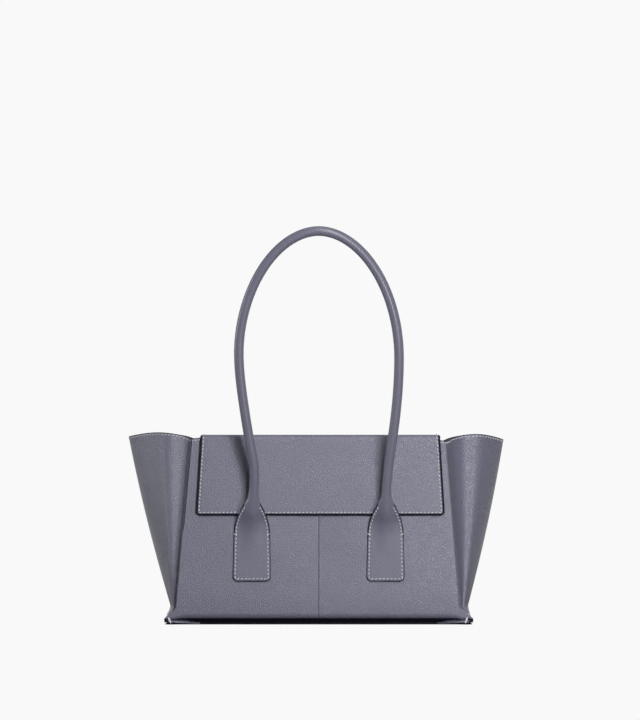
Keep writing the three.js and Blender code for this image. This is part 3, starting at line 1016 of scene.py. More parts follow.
    def paint_ears_and_foot_shade(self, half: Piece) -> None:
        """Paints the cut ends of the ears with edge paint, and paints dark shade on what turns under at the
        foot.
        """
        foot = self.form.wing(self.side).foot
        for polygon in half.data.polygons:
            across, up = abs(polygon.center.x), polygon.center.z
            at_ear = across > foot + self.ear_start and up < self.form.ear_tip + 0.0002
            # Painted shade: the leather turned under at the foot is painted dark, up to a height that grows
            # from the ears to the middle.
            under = self.form.foot_height - up
            painted = lerp(0.0016, 0.0060, ease(foot - across, 0.006, 0.036))
            if at_ear or (across < foot - 0.002 and 0.0001 < under < painted):
                polygon.material_index = 1

    def rim_seam(self) -> SeamPath:
        """Returns the row of stitches below the top edge, from the front seam to the back one."""
        form = self.form
        path = [self.on_panel(Wall.FRONT, q) for q in steps(0.0, 0.985, 40)]
        for u in steps(0.015, 1.985, 130):
            s = form.wing_share(self.side, u, form.rim_height)
            z = form.wing_top(self.side, s) - self.stitch_inset
            path.append((form.wing_point(self.side, s, z), form.wing_out(self.side, s, z)))
        return path + [self.on_panel(Wall.BACK, q) for q in steps(0.985, 0.0, 40)]

    def on_panel(self, wall: Wall, q: float) -> SeamPoint:
        """Returns a point of the rim's stitch row on a long wall, with the outward direction."""
        point = self.panel_point(wall, q, 2.0)
        point.z -= self.stitch_inset
        point.y = wall.value * self.form.half_depth(point.z)
        point.x *= self.side.value
        return point, wall.outward()

    def ear_seam(self) -> SeamPath:
        """Returns the row of stitches along the ear, from front to back."""
        path: SeamPath = []
        for s in steps(0.14, 0.86, 40):
            h = self.ear_seam_place
            point = self.ear_point(s, h)
            slope = self.ear_point(s, h + 0.1) - self.ear_point(s, h - 0.1)
            out = Vector((slope.z * self.side.value, 0.0, -slope.x)).normalized()
            point.x *= self.side.value
            path.append((point, out))
        return path

    def ear_ends(self) -> list[SeamPath]:
        """Returns the last stitch at each end of the ear, which wraps round the two leathers."""
        foot = self.form.wing(self.side).foot
        ends = []
        for wall in Wall:
            out = wall.outward()
            y = wall.value * (self.form.half_depth(self.form.ear_tip) + 0.0011)
            top = Vector((self.side.value * (foot + self.ear_start), y, self.form.ear_tip + 0.0008))
            low = Vector((self.side.value * (foot + 0.0022), y, 0.0018))
            ends.append([(top, out), (low, out)])
        return ends


@dataclass
class BasePanel:
    """The base leather, whose two ends lift into the sewn ears.

    Attributes:
        corner: Radius of its corners.
        inset: How far its long edges lie inside the body at the ears.
        waist: How much further they are drawn in between the ears.
        lift: How far the ears are off the floor.
        lift_length: Length over which the base rises to them.
    """

    form: BagForm
    palette: Palette
    leather: float = 0.0018
    corner: float = 0.0015
    inset: float = 0.0022
    waist: float = 0.0125
    lift: float = 0.0021
    lift_length: float = 0.026
    edge_round: float = 0.0005

    def half_width(self, x: float) -> float:
        """Returns half the width, drawn in under the bag between the corners and rounded at them."""
        from_end = max(0.0, self.form.base_half - abs(x))
        ear = self.form.base_half - self.form.wing(Side.of(x)).foot
        half = self.form.base_depth / 2.0 - self.inset
        half -= self.waist * ease(from_end, ear, ear + self.lift_length)
        return half - corner_cut(self.corner, from_end)

    def rise(self, x: float) -> float:
        """Returns how far the base is lifted off the floor."""
        foot = self.form.wing(Side.of(x)).foot
        return self.lift * ease(abs(x), foot - self.lift_length, foot + 0.003)

    def build(self) -> Piece:
        """Returns the finished base."""
        left, right = -self.form.base_half, self.form.base_half

        def place(u: float, v: float) -> Vector:
            """Returns a point of the base's upper face."""
            x = lerp(left, right, u)
            return Vector((x, v * self.half_width(x), self.leather + self.rise(x)))

        ends = [0.0, 0.0045, 0.009, 0.0135]
        columns = ends + steps(0.02, 0.14, 14) + steps(0.16, 0.84, 16) + steps(0.86, 0.98, 14)
        columns += [1.0 - u for u in reversed(ends)]
        base = lay_grid("base_leather", columns, steps(-1.0, 1.0, 16), place)
        dress(base, self.palette.hide, self.palette.paint)
        mark_border(base, lambda place: abs(place.x) > RIGHT_WING.foot + 0.0045)
        thicken(base, self.leather)
        paint_border(base, self.edge_round, 2)
        # Painted shade: the base's long edges between the lifted ends are painted dark, where they lie in
        # shadow under the bag.
        for polygon in base.data.polygons:
            if abs(polygon.center.x) < LEFT_WING.foot - self.lift_length and abs(polygon.normal.y) > 0.5:
                polygon.material_index = 1
        return base


@dataclass
class InnerLayers:
    """Facing round the mouth, and the boards and the cloth lining below it.

    Attributes:
        facing_depth: How far the facing lies behind the body's outer face.
        facing_leather: Its thickness.
        lining_depth: How far the cloth lies behind the body's outer face.
        lining: Thickness of the cloth.
        overlap: How far the cloth goes up behind the facing.
        floor: Height of the foot of the cloth on the walls.
        clearance: Gap between neighbouring layers.
        board_depth: How far the stiffeners lie behind the body's outer face.
        board: Their thickness.
        board_foot: Height of their lower edge.
        board_inset: How far their ends lie in from the creases.
        base_inset: How far the base board lies in from the outside of the base.
        base_corner: Radius of its corners.
        curl: Width over which the floor cloth curls up at the long walls.
        slot: Gap round the magnet in the stiffener.
    """

    form: BagForm
    palette: Palette
    facing_height: float = 0.035
    facing_depth: float = 0.0019
    facing_leather: float = 0.0027
    lining_depth: float = 0.0034
    lining: float = 0.0008
    overlap: float = 0.001
    floor: float = 0.0068
    clearance: float = 0.0003
    board_depth: float = 0.0021
    board: float = 0.0009
    board_foot: float = 0.016
    board_inset: float = 0.006
    base_inset: float = 0.0135
    base_corner: float = 0.006
    curl: float = 0.0052
    slot: float = 0.0004

    def corner_x(self, side: Side, z: float, depth: float) -> float:
        """Returns where a layer's corner lies at a height."""
        return self.form.crease_x(side, z) - depth - self.clearance

    def inside(self, side: Side, s: float, z: float, depth: float) -> Vector:
        """Returns a point inside a wing.

        Args:
            side: Which wing.
            s: Share of the way from the front crease to the back one.
            z: Height.
            depth: How far the point lies in from the side, and from the nearer crease.

        Returns:
            The point.
        """
        tip = self.form.wing(side).tip_place
        pull = 1.0 - 2.0 * ease(s, tip - 0.12, tip + 0.12)
        return self.form.wing_point(side, s, z) + Vector((-side.value * depth, pull * depth, 0.0))

    def ring(self, name: str, depth: float, low: Level, high: Level, rows: Sequence[float]) -> Piece:
        """Lays a ring of sheet round the inside.

        Args:
            name: Name of the ring.
            depth: How far its outer face lies behind the body's outer face.
            low: Height of its lower edge where the rim has a height.
            high: Height of its upper edge there.
            rows: Shares of the way up.

        Returns:
            The ring, with its faces turned into the bag.
        """
        form = self.form

        least = depth / form.rim_depth

        def on_wall(wall: Wall, u: float, v: float) -> Vector:
            """Returns a point on a long wall, from left to right and from low to high."""
            top = form.rim(u * form.rim_width / 2.0)
            z = lerp(low(top), high(top), v)
            x = u * self.corner_x(Side.of(u), z, depth)
            return Vector((x, wall.value * (form.foot_depth(z) - depth), z))

        def share(side: Side, t: float, z: float) -> float:
            """Returns the share of the way round a wing, kept off its creases."""
            return min(1.0 - least, max(least, form.wing_share(side, 2.0 * t, z)))

        def on_wing(side: Side, t: float, v: float) -> Vector:
            """Returns a point on a wing, from front to back and from low to high."""
            s = share(side, t, form.rim_height)
            inner = self.inside(side, s, form.rim_height, depth + self.facing_leather)
            out = min(abs(inner.x) - form.rim_width / 2.0, form.wing(side).reach)
            blend = ease(min(t, 1.0 - t), 0.0, 0.02)
            crease_top = form.rim(side.value * form.rim_width / 2.0)
            top = lerp(crease_top, min(form.wing_top(side, s), form.top_at(side, out)), blend)
            z = lerp(low(top), high(top), v)
            y = math.copysign(form.foot_depth(z) - depth, t - 0.5)
            corner = Vector((side.value * self.corner_x(side, z, depth), y, z))
            return corner.lerp(self.inside(side, share(side, t, z), z, depth), blend)

        across = steps(-1.0, 1.0, 40)
        back = [0.0] + steps(0.02, 0.47, 36) + [0.48, 0.49, 0.5, 0.51, 0.52] + steps(0.53, 0.98, 36) + [1.0]
        zones = [lay_grid(name, across, rows, partial(on_wall, wall)) for wall in Wall]
        zones += [lay_grid(name, back, rows, partial(on_wing, side)) for side in Side]
        flip(zones[0])
        flip(zones[3])
        joined = join(name, zones)
        weld(joined, 2e-5)
        return joined

    def build_facing(self) -> Piece:
        """Returns the leather facing."""
        facing = self.ring(
            "mouth_facing",
            self.facing_depth,
            lambda top: top - self.facing_height,
            lambda top: top - 0.0001,
            steps(0.0, 0.9, 8) + [0.95, 0.98, 1.0],
        )
        dress(facing, self.palette.hide, self.palette.paint)
        mark_border(facing, lambda place: place.z > self.form.rim_height - self.facing_height / 2.0)
        thicken(facing, self.facing_leather, 1.0)
        paint_border(facing, 0.0005, 2)
        return facing

    def build_lining(self) -> Piece:
        """Returns the cloth on the walls."""
        lining = self.ring(
            "wall_lining",
            self.lining_depth,
            lambda top: self.floor,
            lambda top: top - self.facing_height + self.overlap,
            steps(0.0, 1.0, 30),
        )
        dress(lining, self.palette.lining)
        thicken(lining, self.lining, 1.0)
        smooth(lining)
        return lining

    def cloth_size(self) -> tuple[float, float]:
        """Returns the length round the bag at half height and the height of the wall cloth."""
        form = self.form
        height = form.rim_height - self.facing_height + self.overlap - self.floor
        z = self.floor + height / 2.0
        around = 0.0
        for side in Side:
            around += 2.0 * self.corner_x(side, z, self.lining_depth)
            shares = [form.wing_share(side, u, z) for u in steps(0.0, 2.0, 60)]
            points = [form.wing_point(side, s, z) for s in shares]
            around += sum((after - before).length for before, after in zip(points, points[1:]))
        return around, height

    def build_wall_board(self, wall: Wall) -> Piece:
        """Builds the stiffener behind a long wall, with a hole for the front one's magnet.

        Args:
            wall: Front or back.

        Returns:
            The finished board.
        """
        form = self.form
        low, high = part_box("panel_magnet")
        top = form.rim_height - self.facing_height - self.clearance - 0.0012

        def place(x: float, z: float) -> Vector:
            """Returns a point of the outer face, drawn in towards the sides."""
            side = Side.of(x)
            reach = form.crease_x(side, z) - self.board_inset
            across = x * reach / form.wing(side).foot
            if low.x - 0.001 <= x <= high.x + 0.001:
                across = x
            return Vector((across, wall.value * (form.foot_depth(z) - self.board_depth), z))

        inner = steps(low.x - self.slot, high.x + self.slot, 4)
        columns = steps(-LEFT_WING.foot, -0.02, 18) + inner + steps(0.02, RIGHT_WING.foot, 18)
        rows = steps(self.board_foot, low.z - self.slot, 12) + steps(high.z + self.slot, top, 4)
        board = lay_grid(f"{wall.name.lower()}_board", columns, rows, place)
        if wall is Wall.FRONT:
            select_faces(
                board, lambda face: low.x < face.center.x < high.x and low.z < face.center.z < high.z
            )
            bpy.ops.mesh.delete(type="FACE")
            bpy.ops.object.mode_set(mode="OBJECT")
        else:
            flip(board)
        dress(board, self.palette.board)
        thicken(board, self.board)
        return board

    def build_base_board(self) -> Piece:
        """Returns the board under the floor cloth, with rounded corners."""
        low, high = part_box("base_board")
        half, corner = self.form.base_depth / 2.0 - self.base_inset, self.base_corner
        left, right = -LEFT_WING.foot + 0.0055, RIGHT_WING.foot - 0.0055

        def place(x: float, v: float) -> Vector:
            """Returns a point of the upper face."""
            return Vector((x, v * (half - corner_cut(corner, min(x - left, right - x))), high.z))

        ends = [corner * (1.0 - math.cos(a)) for a in steps(0.0, math.pi / 2.0, 6)]
        columns = [left + end for end in ends] + steps(left + 0.01, right - 0.01, 12)
        columns += [right - end for end in reversed(ends)]
        board = lay_grid("base_board_sheet", columns, steps(-1.0, 1.0, 8), place)
        dress(board, self.palette.board)
        thicken(board, high.z - low.z)
        return board

    def build_floor(self) -> Piece:
        """Returns the cloth on the floor, whose long edges curl up to meet the walls."""
        low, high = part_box("base_lining")
        depth = self.lining_depth + self.lining + self.clearance
        half = self.form.foot_depth(self.floor) - depth
        left, right = -LEFT_WING.foot + depth, RIGHT_WING.foot - depth

        def place(u: float, v: float) -> Vector:
            """Returns a point of the upper face."""
            y = lerp(-half, half, v)
            curl = (self.floor + 0.0006 - high.z) * ease(abs(y), half - self.curl, half)
            slack = 0.0002 * math.sin(math.pi * u) * math.sin(math.pi * v)
            ripple = 0.0001 * noise.noise(Vector((u * 9.0, v * 4.0, 1.0)))
            return Vector((lerp(left, right, u), y, high.z - slack + ripple + curl))

        cloth = lay_grid("floor_lining", steps(0.0, 1.0, 48), steps(0.0, 1.0, 24), place)
        dress(cloth, self.palette.lining)
        thicken(cloth, high.z - low.z - 0.0002)
        smooth(cloth)
        return cloth


@dataclass
class Flap:
    """Flap sewn to the back, over the top and down the front.

    Attributes:
        top: Height of its upper face.
        lower_edge: Height of its front edge.
        shift: How far it has settled to the right.
        fold_radius: Outer radius of both folds.
        hem: Width of the turned-in hem.
        hem_depth: Its thickness.
        anchor: Length sewn to the back.
        back_stack: Distance of its outer face from the body's at the back.
        front_stack: The same at the front.
        corner: Radius of its front corners.
        sag: How far its top sags in the middle.
        stitch_inset: Distance of the stitches from its edges.
        groove: How deep they pull the leather in.
        groove_width: Half width of that groove.
        cloth: Thickness of the lining on its front.
        cloth_gap: Gap between the lining and the hem.
        cloth_drop: How far below the fold that lining begins, and how far it stands off the body.
    """

    form: BagForm
    palette: Palette
    top: float = 0.1894
    lower_edge: float = 0.1085
    shift: float = 0.0016
    fold_width: float = 0.2402
    lower_width: float = 0.2492
    fold_radius: float = 0.0045
    leather: float = 0.0013
    hem: float = 0.004
    hem_depth: float = 0.0018
    anchor: float = 0.036
    back_stack: float = 0.0025
    front_stack: float = 0.0037
    corner: float = 0.004
    sag: float = 0.0006
    stitch_inset: float = 0.0032
    groove: float = 0.00022
    groove_width: float = 0.0007
    # Width of the painted rounding of the edges: real edge paint, made wide so that it also stands for the
    # shadow under the flap's edge.
    edge_round: float = 0.0021
    cloth: float = 0.0008
    cloth_gap: float = 0.0004
    cloth_drop: float = 0.0003

    def fold_start(self) -> float:
        """Returns the height at which the folds begin."""
        return self.top - self.fold_radius

    def fold_depth(self, stack: float) -> float:
        """Returns how far a fold's centre lies from the middle of the bag, over a stack of layers."""
        return self.form.half_depth(self.fold_start()) + stack - self.fold_radius

    def section(self, v: float) -> tuple[float, float]:
        """Returns depth and height on the outer face.

        Args:
            v: 0 to 1 up the back, 1 to 2 round the back fold, 2 to 3 to the middle of the top,
                3 to 4 to the front fold, 4 to 5 round it and 5 to 6 down the front.

        Returns:
            The two coordinates.
        """
        start = self.fold_start()
        back, front = self.fold_depth(self.back_stack), self.fold_depth(self.front_stack)
        if v <= 1.0:
            z = lerp(start - self.anchor, start, v)
            return self.form.half_depth(z) + self.back_stack, z
        if v <= 2.0:
            angle = (v - 1.0) * math.pi / 2.0
            y = back + self.fold_radius * math.cos(angle)
            return y, start + self.fold_radius * math.sin(angle)
        if v <= 4.0:
            share = (v - 2.0) / 2.0
            y = lerp(back, -front, share)
            return y, self.top - self.sag * math.sin(math.pi * share) ** 2
        if v <= 5.0:
            angle = (v - 4.0) * math.pi / 2.0
            y = -front - self.fold_radius * math.sin(angle)
            return y, start + self.fold_radius * math.cos(angle)
        z = lerp(start, self.lower_edge, v - 5.0)
        return -self.form.half_depth(z) - self.front_stack, z

    def half_at(self, z: float) -> float:
        """Returns half the width at a height, with square corners."""
        share = max(0.0, (self.fold_start() - z) / (self.fold_start() - self.lower_edge))
        return lerp(self.fold_width, self.lower_width, share) / 2.0

    def half_width(self, v: float) -> float:
        """Returns half the flap's width, drawn in round its lower corners."""
        z = self.section(v)[1]
        cut = corner_cut(self.corner, z - self.lower_edge) if v > 5.0 else 0.0
        return self.half_at(z) - cut

    def out(self, v: float) -> Vector:
        """Returns the outward direction at a place along the flap."""
        step = 0.01
        y0, z0 = self.section(max(0.0, v - step))
        y1, z1 = self.section(min(6.0, v + step))
        return Vector((0.0, z1 - z0, y0 - y1)).normalized()

    def point(self, u: float, v: float) -> Vector:
        """Returns a point of the outer face, from right (u = 0) to left (u = 1)."""
        y, z = self.section(v)
        half = self.half_width(v)
        x = lerp(half, -half, u)
        point = Vector((x + self.shift, y, z))
        from_side = half - abs(x)
        from_end = z - self.lower_edge if v > 5.0 else self.hem
        inset = min(from_side, from_end)
        groove = self.groove * bell(inset - self.stitch_inset, self.groove_width)
        return point - self.out(v) * groove

    def columns(self) -> list[float]:
        """Returns the columns across, close together at the hems."""
        edge = [0.0, 0.0096, 0.0114, 0.0134, self.hem / self.fold_width, 0.024]
        return edge + steps(0.04, 0.96, 40) + [1.0 - u for u in reversed(edge)]

    def add_hem(self, obj: Piece, columns: int, rows: int, ends: Sequence[int]) -> None:
        """Thickens the turned-in hem on the inner face.

        Args:
            obj: The leather, just thickened, so that its inner faces follow its outer ones.
            columns: Number of faces across.
            rows: Number of faces along.
            ends: Rows of faces that are hem from side to side.
        """
        side = sum(u < self.hem / self.fold_width - 1e-6 for u in self.columns())

        def in_hem(face: bpy.types.MeshPolygon) -> bool:
            """Returns whether a face of the inner side is hem."""
            row, column = divmod(face.index - columns * rows, columns)
            return 0 <= row < rows and (min(column, columns - 1 - column) < side or row in ends)

        select_faces(obj, in_hem)
        bpy.ops.mesh.extrude_region_shrink_fatten(
            TRANSFORM_OT_shrink_fatten={"value": self.hem_depth, "use_even_offset": True}
        )
        bpy.ops.object.mode_set(mode="OBJECT")

    def build_leather(self, name: str, rows: Sequence[float], hem_rows: int) -> Piece:
        """Builds one of the flap's two leathers.

        Args:
            name: Name of the piece.
            rows: Places along the flap.
            hem_rows: Number of rows of faces in the hem at its free end.

        Returns:
            The finished piece.
        """
        columns = self.columns()
        leather = lay_grid(name, columns, rows, self.point)
        dress(leather, self.palette.hide, self.palette.paint)
        middle = self.section(3.0)[0]
        mark_border(leather, lambda place: abs(place.y - middle) > 0.0001 or self.at_side(place.x))
        thicken(leather, self.leather)
        across, along = len(columns) - 1, len(rows) - 1
        self.add_hem(leather, across, along, range(along - hem_rows, along))
        paint_border(leather, self.edge_round)
        return leather

    def at_side(self, x: float) -> bool:
        """Returns whether a point of the top lies on its left or right edge."""
        return abs(abs(x - self.shift) - self.fold_width / 2.0) < 0.0001

    def build_front_lining(self) -> Piece:
        """Returns the cloth behind the front of the flap."""
        inset = self.hem + self.cloth_gap

        def place(u: float, v: float) -> Vector:
            """Returns a point of the cloth's outer face, inside the hem."""
            z = lerp(self.fold_start() - self.cloth_drop, self.lower_edge + inset, v)
            half = self.half_at(z) - inset
            y = -self.form.half_depth(z) - self.cloth_drop - self.cloth
            return Vector((lerp(half, -half, u) + self.shift, y, z))

        cloth = lay_grid("flap_front_cloth", steps(0.0, 1.0, 40), steps(0.0, 1.0, 14), place)
        dress(cloth, self.palette.lining)
        thicken(cloth, self.cloth)
        return cloth

    def build_top_lining(self) -> Piece:
        """Returns the cloth under the top of the flap."""
        low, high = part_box("flap_top_lining")

        def place(u: float, v: float) -> Vector:
            """Returns a point of the cloth's upper face."""
            z = high.z - self.sag * math.sin(math.pi * v) ** 2
            return Vector((lerp(high.x, low.x, u) + self.shift, lerp(high.y, low.y, v), z))

        cloth = lay_grid("flap_top_cloth", steps(0.0, 1.0, 40), steps(0.0, 1.0, 20), place)
        dress(cloth, self.palette.lining)
        thicken(cloth, high.z - low.z)
        return cloth

    def build(self, thread: Thread) -> None:
        """Builds the flap's pieces, fixes its linings to their bodies and hides the CAD nodes that the
        pieces replace.
        """
        bag, top, front = "bag", "flap_top", "flap_front"
        anchor_rows = [0.0, 0.03, 0.06, 0.085, 0.111] + steps(0.2, 1.0, 6)
        rear_rows = anchor_rows + steps(1.0, 2.0, 8)[1:] + steps(2.0, 3.0, 10)[1:]
        rear = self.build_leather("flap_rear_leather", rear_rows, 0)
        length = self.fold_start() - self.lower_edge
        hem_rows = [0.004, 0.0033, 0.0028, 0.0023, 0.0]
        front_rows = steps(3.0, 4.0, 10) + steps(4.0, 5.0, 10)[1:] + steps(5.0, 5.93, 20)[1:]
        front_rows += [6.0 - inset / length for inset in hem_rows]
        fore = self.build_leather("flap_front_leather", front_rows, len(hem_rows) - 1)
        rear_start, rear_end = self.bend_line(0.75, 2.12)
        front_start, front_end = self.bend_line(3.8, 5.12)
        front_seam = self.seam(6.0 - self.stitch_inset / length, 60, Side.RIGHT)
        rear_seam = self.seam(self.stitch_inset / self.anchor, 50, Side.LEFT)
        rows = [
            (rear, bag, top, rear_start, rear_end, ("flap_anchor", "flap_top")),
            (fore, top, front, front_start, front_end, ("flap_front",)),
            (thread.sew("flap_front_stitches", front_seam), top, front, front_start, front_end, ()),
            (thread.sew("flap_rear_stitches", rear_seam), bag, top, rear_start, rear_end, ()),
        ]
        for piece, first, second, start, end, nodes in rows:
            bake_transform(piece)
            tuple(start)
            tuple(end)
            if nodes:
                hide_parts(*nodes)
            log.info("%s bends from %s to %s", piece.name, first, second)
        for cloth, body, node in (
            (self.build_front_lining(), front, "flap_front_lining"),
            (self.build_top_lining(), top, "flap_top_lining"),
        ):
            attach(cloth, body)
            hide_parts(node)
            size = cloth.dimensions
            max(size.y, size.z)
            log.info("%s rides on %s", cloth.name, body)

    def bend_line(self, first: float, last: float) -> tuple[Vector, Vector]:
        """Returns the two points between which the leather turns over a fold."""
        return self.point(0.5, first), self.point(0.5, last)

    def seam(self, turn: float, count: int, first: Side) -> SeamPath:
        """Returns a row of stitches from the middle of the top along one side, across and back.

        Args:
            turn: Place along the flap at which the row crosses it.
            count: Number of steps along each side.
            first: Side on which the row begins.

        Returns:
            The row.
        """
        y, z = self.section(turn)

        def at_side(v: float, sign: int) -> SeamPoint:
            """Returns a point of the row on the side with this sign, with the outward direction."""
            y, z = self.section(v)
            x = sign * (self.half_width(min(v, 5.9)) - self.stitch_inset) + self.shift
            return Vector((x, y, z)), self.out(v)

        path = [at_side(v, first.value) for v in steps(3.0, turn, count)]
        across = steps(path[-1][0].x, at_side(turn, -first.value)[0].x, 30)
        path += [(Vector((x, y, z)), self.out(turn)) for x in across[1:-1]]
        return path + [at_side(v, -first.value) for v in steps(turn, 3.0, count)]


@dataclass
class Handle:
    """A rolled handle that flattens into two tabs sewn to a wall.

    Heights are measured from the line of its bar tacks, where the handle bends off the wall.

    Attributes:
        lean: How far it leans out from upright.
        tab_width: Width of a tab at its lower end.
        tab_top_width: Width at the bar tacks.
        tab: Thickness of a tab.
        tab_corner: Radius of its lower corners.
        spacing: Distance between the middles of the tabs.
        neck: Length over which a tab rolls up into the tube.
        roll_start: Height at which it begins to.
        crown_start: Height at which its middle begins to rise.
        wrap: Thickness of the leather round the cord.
        width: Width of the loop at its widest.
        widest: Height of that place.
        drop: Height of the top of the loop.
        bend_low: Height at which the handle begins to bend off the wall.
        bend_high: Height at which it has bent off.
        stitch_inset: Distance of the stitches from a tab's edges.
        groove: How deep they pull the leather in.
        groove_width: Half width of that groove.
        seam: Depth and half width of the seam along the back of the tube.
        neck_ease: How softly the neck runs into the tube.
        polished: Heights between which the grain is rolled smooth.
        sway: How far the whole loop has settled to one side.
        kink: How far its left leg is bent.
        kink_height: Height of that bend.
        kink_length: Its half length.
        arch_power: Fullness of the arch, 2 for an ellipse.
    """

    form: BagForm
    palette: Palette
    wall: Wall
    lean: float
    tab_width: float = 0.0381
    tab_top_width: float = 0.0362
    tab: float = 0.003
    tab_length: float = 0.0472
    tab_corner: float = 0.005
    spacing: float = 0.1334
    neck: float = 0.038
    roll_start: float = 0.010
    crown_start: float = -0.026
    radius: float = 0.00475
    wrap: float = 0.0015
    width: float = 0.1574
    widest: float = 0.182
    drop: float = 0.306
    bend_low: float = -0.012
    bend_high: float = 0.026
    stitch_inset: float = 0.0024
    groove: float = 0.00025
    groove_width: float = 0.0007
    seam: float = 0.0006
    edge_round: float = 0.0012
    neck_ease: float = 0.12
    polished: tuple[float, float] = (0.002, 0.040)
    sway: float = 0.0018
    kink: float = 0.0030
    kink_height: float = 0.066
    kink_length: float = 0.028
    arch_power: float = 1.92

    def hinge(self) -> Vector:
        """Returns the middle of the line that the handle bends on."""
        joint = f"{self.prefix()}_handle_swing"
        found = next(j for j in frame["joints"] if j["name"] == joint)
        return Vector(found["pos_m"])

    def to_bag(self, x: float, y: float, height: float) -> Vector:
        """Returns a point of the flat handle where it lies on the bag.

        Args:
            x: Distance to the right of the middle, seen from outside the wall.
            y: Depth behind the tab's outer face.
            height: Height above the bend, along the handle.

        Returns:
            The point.
        """
        tilt = math.atan((self.form.base_depth - self.form.rim_depth) / 2.0 / self.form.rim_height)
        turn = (self.lean + tilt) * ease(height, self.bend_low, self.bend_high) - tilt
        cosine, sine = math.cos(turn), math.sin(turn)
        leg = 1.0 - ease(x, -0.25 * self.spacing, 0.25 * self.spacing)
        x += self.sway * bell(height - 0.36 * self.drop, 0.17 * self.drop)
        x += self.kink * leg * bell(height - self.kink_height, self.kink_length)
        local = Vector((x, y * cosine - height * sine, y * sine + height * cosine))
        if self.wall is Wall.BACK:
            local = Vector((-local.x, -local.y, local.z))
        return self.hinge() + local

    def tab_half(self, height: float) -> float:
        """Returns half the width of a tab with square corners."""
        return lerp(self.tab_top_width, self.tab_width, -height / self.tab_length) / 2.0

    def half_width(self, height: float) -> float:
        """Returns half the width of tab, neck or tube at a height."""
        if height < 0.0:
            return self.tab_half(height) - corner_cut(self.tab_corner, height + self.tab_length)
        spread = math.cos(min(2.0, height / self.neck) * math.pi / 2.0)
        spread = (spread + math.hypot(spread, self.neck_ease)) / 2.0
        whole = (1.0 + math.hypot(1.0, self.neck_ease)) / 2.0
        return lerp(self.radius, self.tab_top_width / 2.0, spread / whole)

    def inset(self, height: float, across: float) -> float:
        """Returns how far a point of the tab or neck lies inside its outline."""
        half = self.half_width(height)
        from_side = (1.0 - abs(across)) * half
        from_end = height + self.tab_length
        if from_end >= self.tab_corner:
            return from_side
        past = abs(across) * half - self.tab_half(height) + self.tab_corner
        if past <= 0.0:
            return from_end
        return max(0.0, self.tab_corner - math.hypot(past, self.tab_corner - from_end))

    def profile(self, height: float, across: float, front: bool) -> float:
        """Returns the depth of a section's face.

        Args:
            height: Height of the section.
            across: Place across it, from -1 to 1.
            front: Whether the outer face or the one towards the wall is meant.

        Returns:
            The depth behind the tab's outer face.
        """
        roll = ease(height, self.roll_start, self.neck)
        half = self.half_width(height)
        inset = self.inset(height, across)
        rounding = 1.0 - min(1.0, inset / self.edge_round)
        full = lerp(math.sqrt(1.0 - rounding**2), math.sqrt(max(0.0, 1.0 - across**2)), roll)
        thick = lerp(self.tab / 2.0, self.radius, roll)
        centre = lerp(self.tab / 2.0, self.tab - self.radius, roll)
        if not front:
            return centre + thick * full - self.seam * roll * bell(across * half, self.seam)
        crown = ease(height, self.crown_start, self.neck) * (2.0 * self.radius - self.tab)
        spread = max(0.0068, 0.76 * half)
        ridge = math.cos(min(1.0, abs(across * half) / spread) * math.pi / 2.0) ** 2
        swell = (1.0 - roll) * crown * ridge
        groove = self.groove * (1.0 - roll) * bell(inset - self.stitch_inset, self.groove_width)
        return centre - thick * full - swell + groove

    def half_line(self) -> list[Station]:
        """Returns the left half of the centre line.

        Returns:
            Place across, height along the plane, and the two parts of the direction upwards.
        """
        foot, wide = self.spacing / 2.0, self.width / 2.0
        corner = [self.tab_corner * (1.0 - math.cos(a)) for a in steps(0.0, math.pi / 2.0, 7)]
        heights = [-self.tab_length + c for c in corner]
        heights += steps(heights[-1], 0.0, 14)[1:] + steps(0.0, self.neck, 26)[1:]
        line = [(-foot, height) for height in heights]
        for share in steps(0.0, 1.0, 24)[1:]:
            line.append((-lerp(foot, wide, ease(share, 0.0, 1.0)), lerp(self.neck, self.widest, share)))
        for angle in steps(0.0, math.pi / 2.0, 30)[1:]:
            power = 2.0 / self.arch_power
            height = self.widest + (self.drop - self.widest) * math.sin(angle) ** power
            line.append((-wide * max(0.0, math.cos(angle)) ** power, height))
        directed = []
        for i, (x, height) in enumerate(line):
            before = line[max(i - 1, 0)]
            after = line[i + 1] if i + 1 < len(line) else (-line[i - 1][0], line[i - 1][1])
            along = Vector((after[0] - before[0], after[1] - before[1])).normalized()
            directed.append((x, height, along.x, along.y))
        return directed

    def line(self) -> list[Station]:
        """Returns the whole centre line, from the left tab to the right one."""
        half = self.half_line()
        mirrored = [(-x, height, along_x, -along_z) for x, height, along_x, along_z in reversed(half[:-1])]
        return half + mirrored

    def surface_point(self, station: Station, across: float, front: bool) -> Vector:
        """Returns a point of the handle's face at a station of its centre line."""
        x, height, along_x, along_z = station
        offset = across * self.half_width(height)
        depth = self.profile(height, across, front)
        return self.to_bag(x + along_z * offset, depth, height - along_x * offset)

    def build(self) -> Piece:
        """Returns the leather of the handle, with its tabs."""
        stations = self.line()
        around = 72

        def place(turn: float, row: float) -> Vector:
            """Returns a point round the section, from its left edge over the front."""
            across = -math.cos(2.0 * math.pi * turn)
            return self.surface_point(stations[round(row)], across, turn <= 0.5)

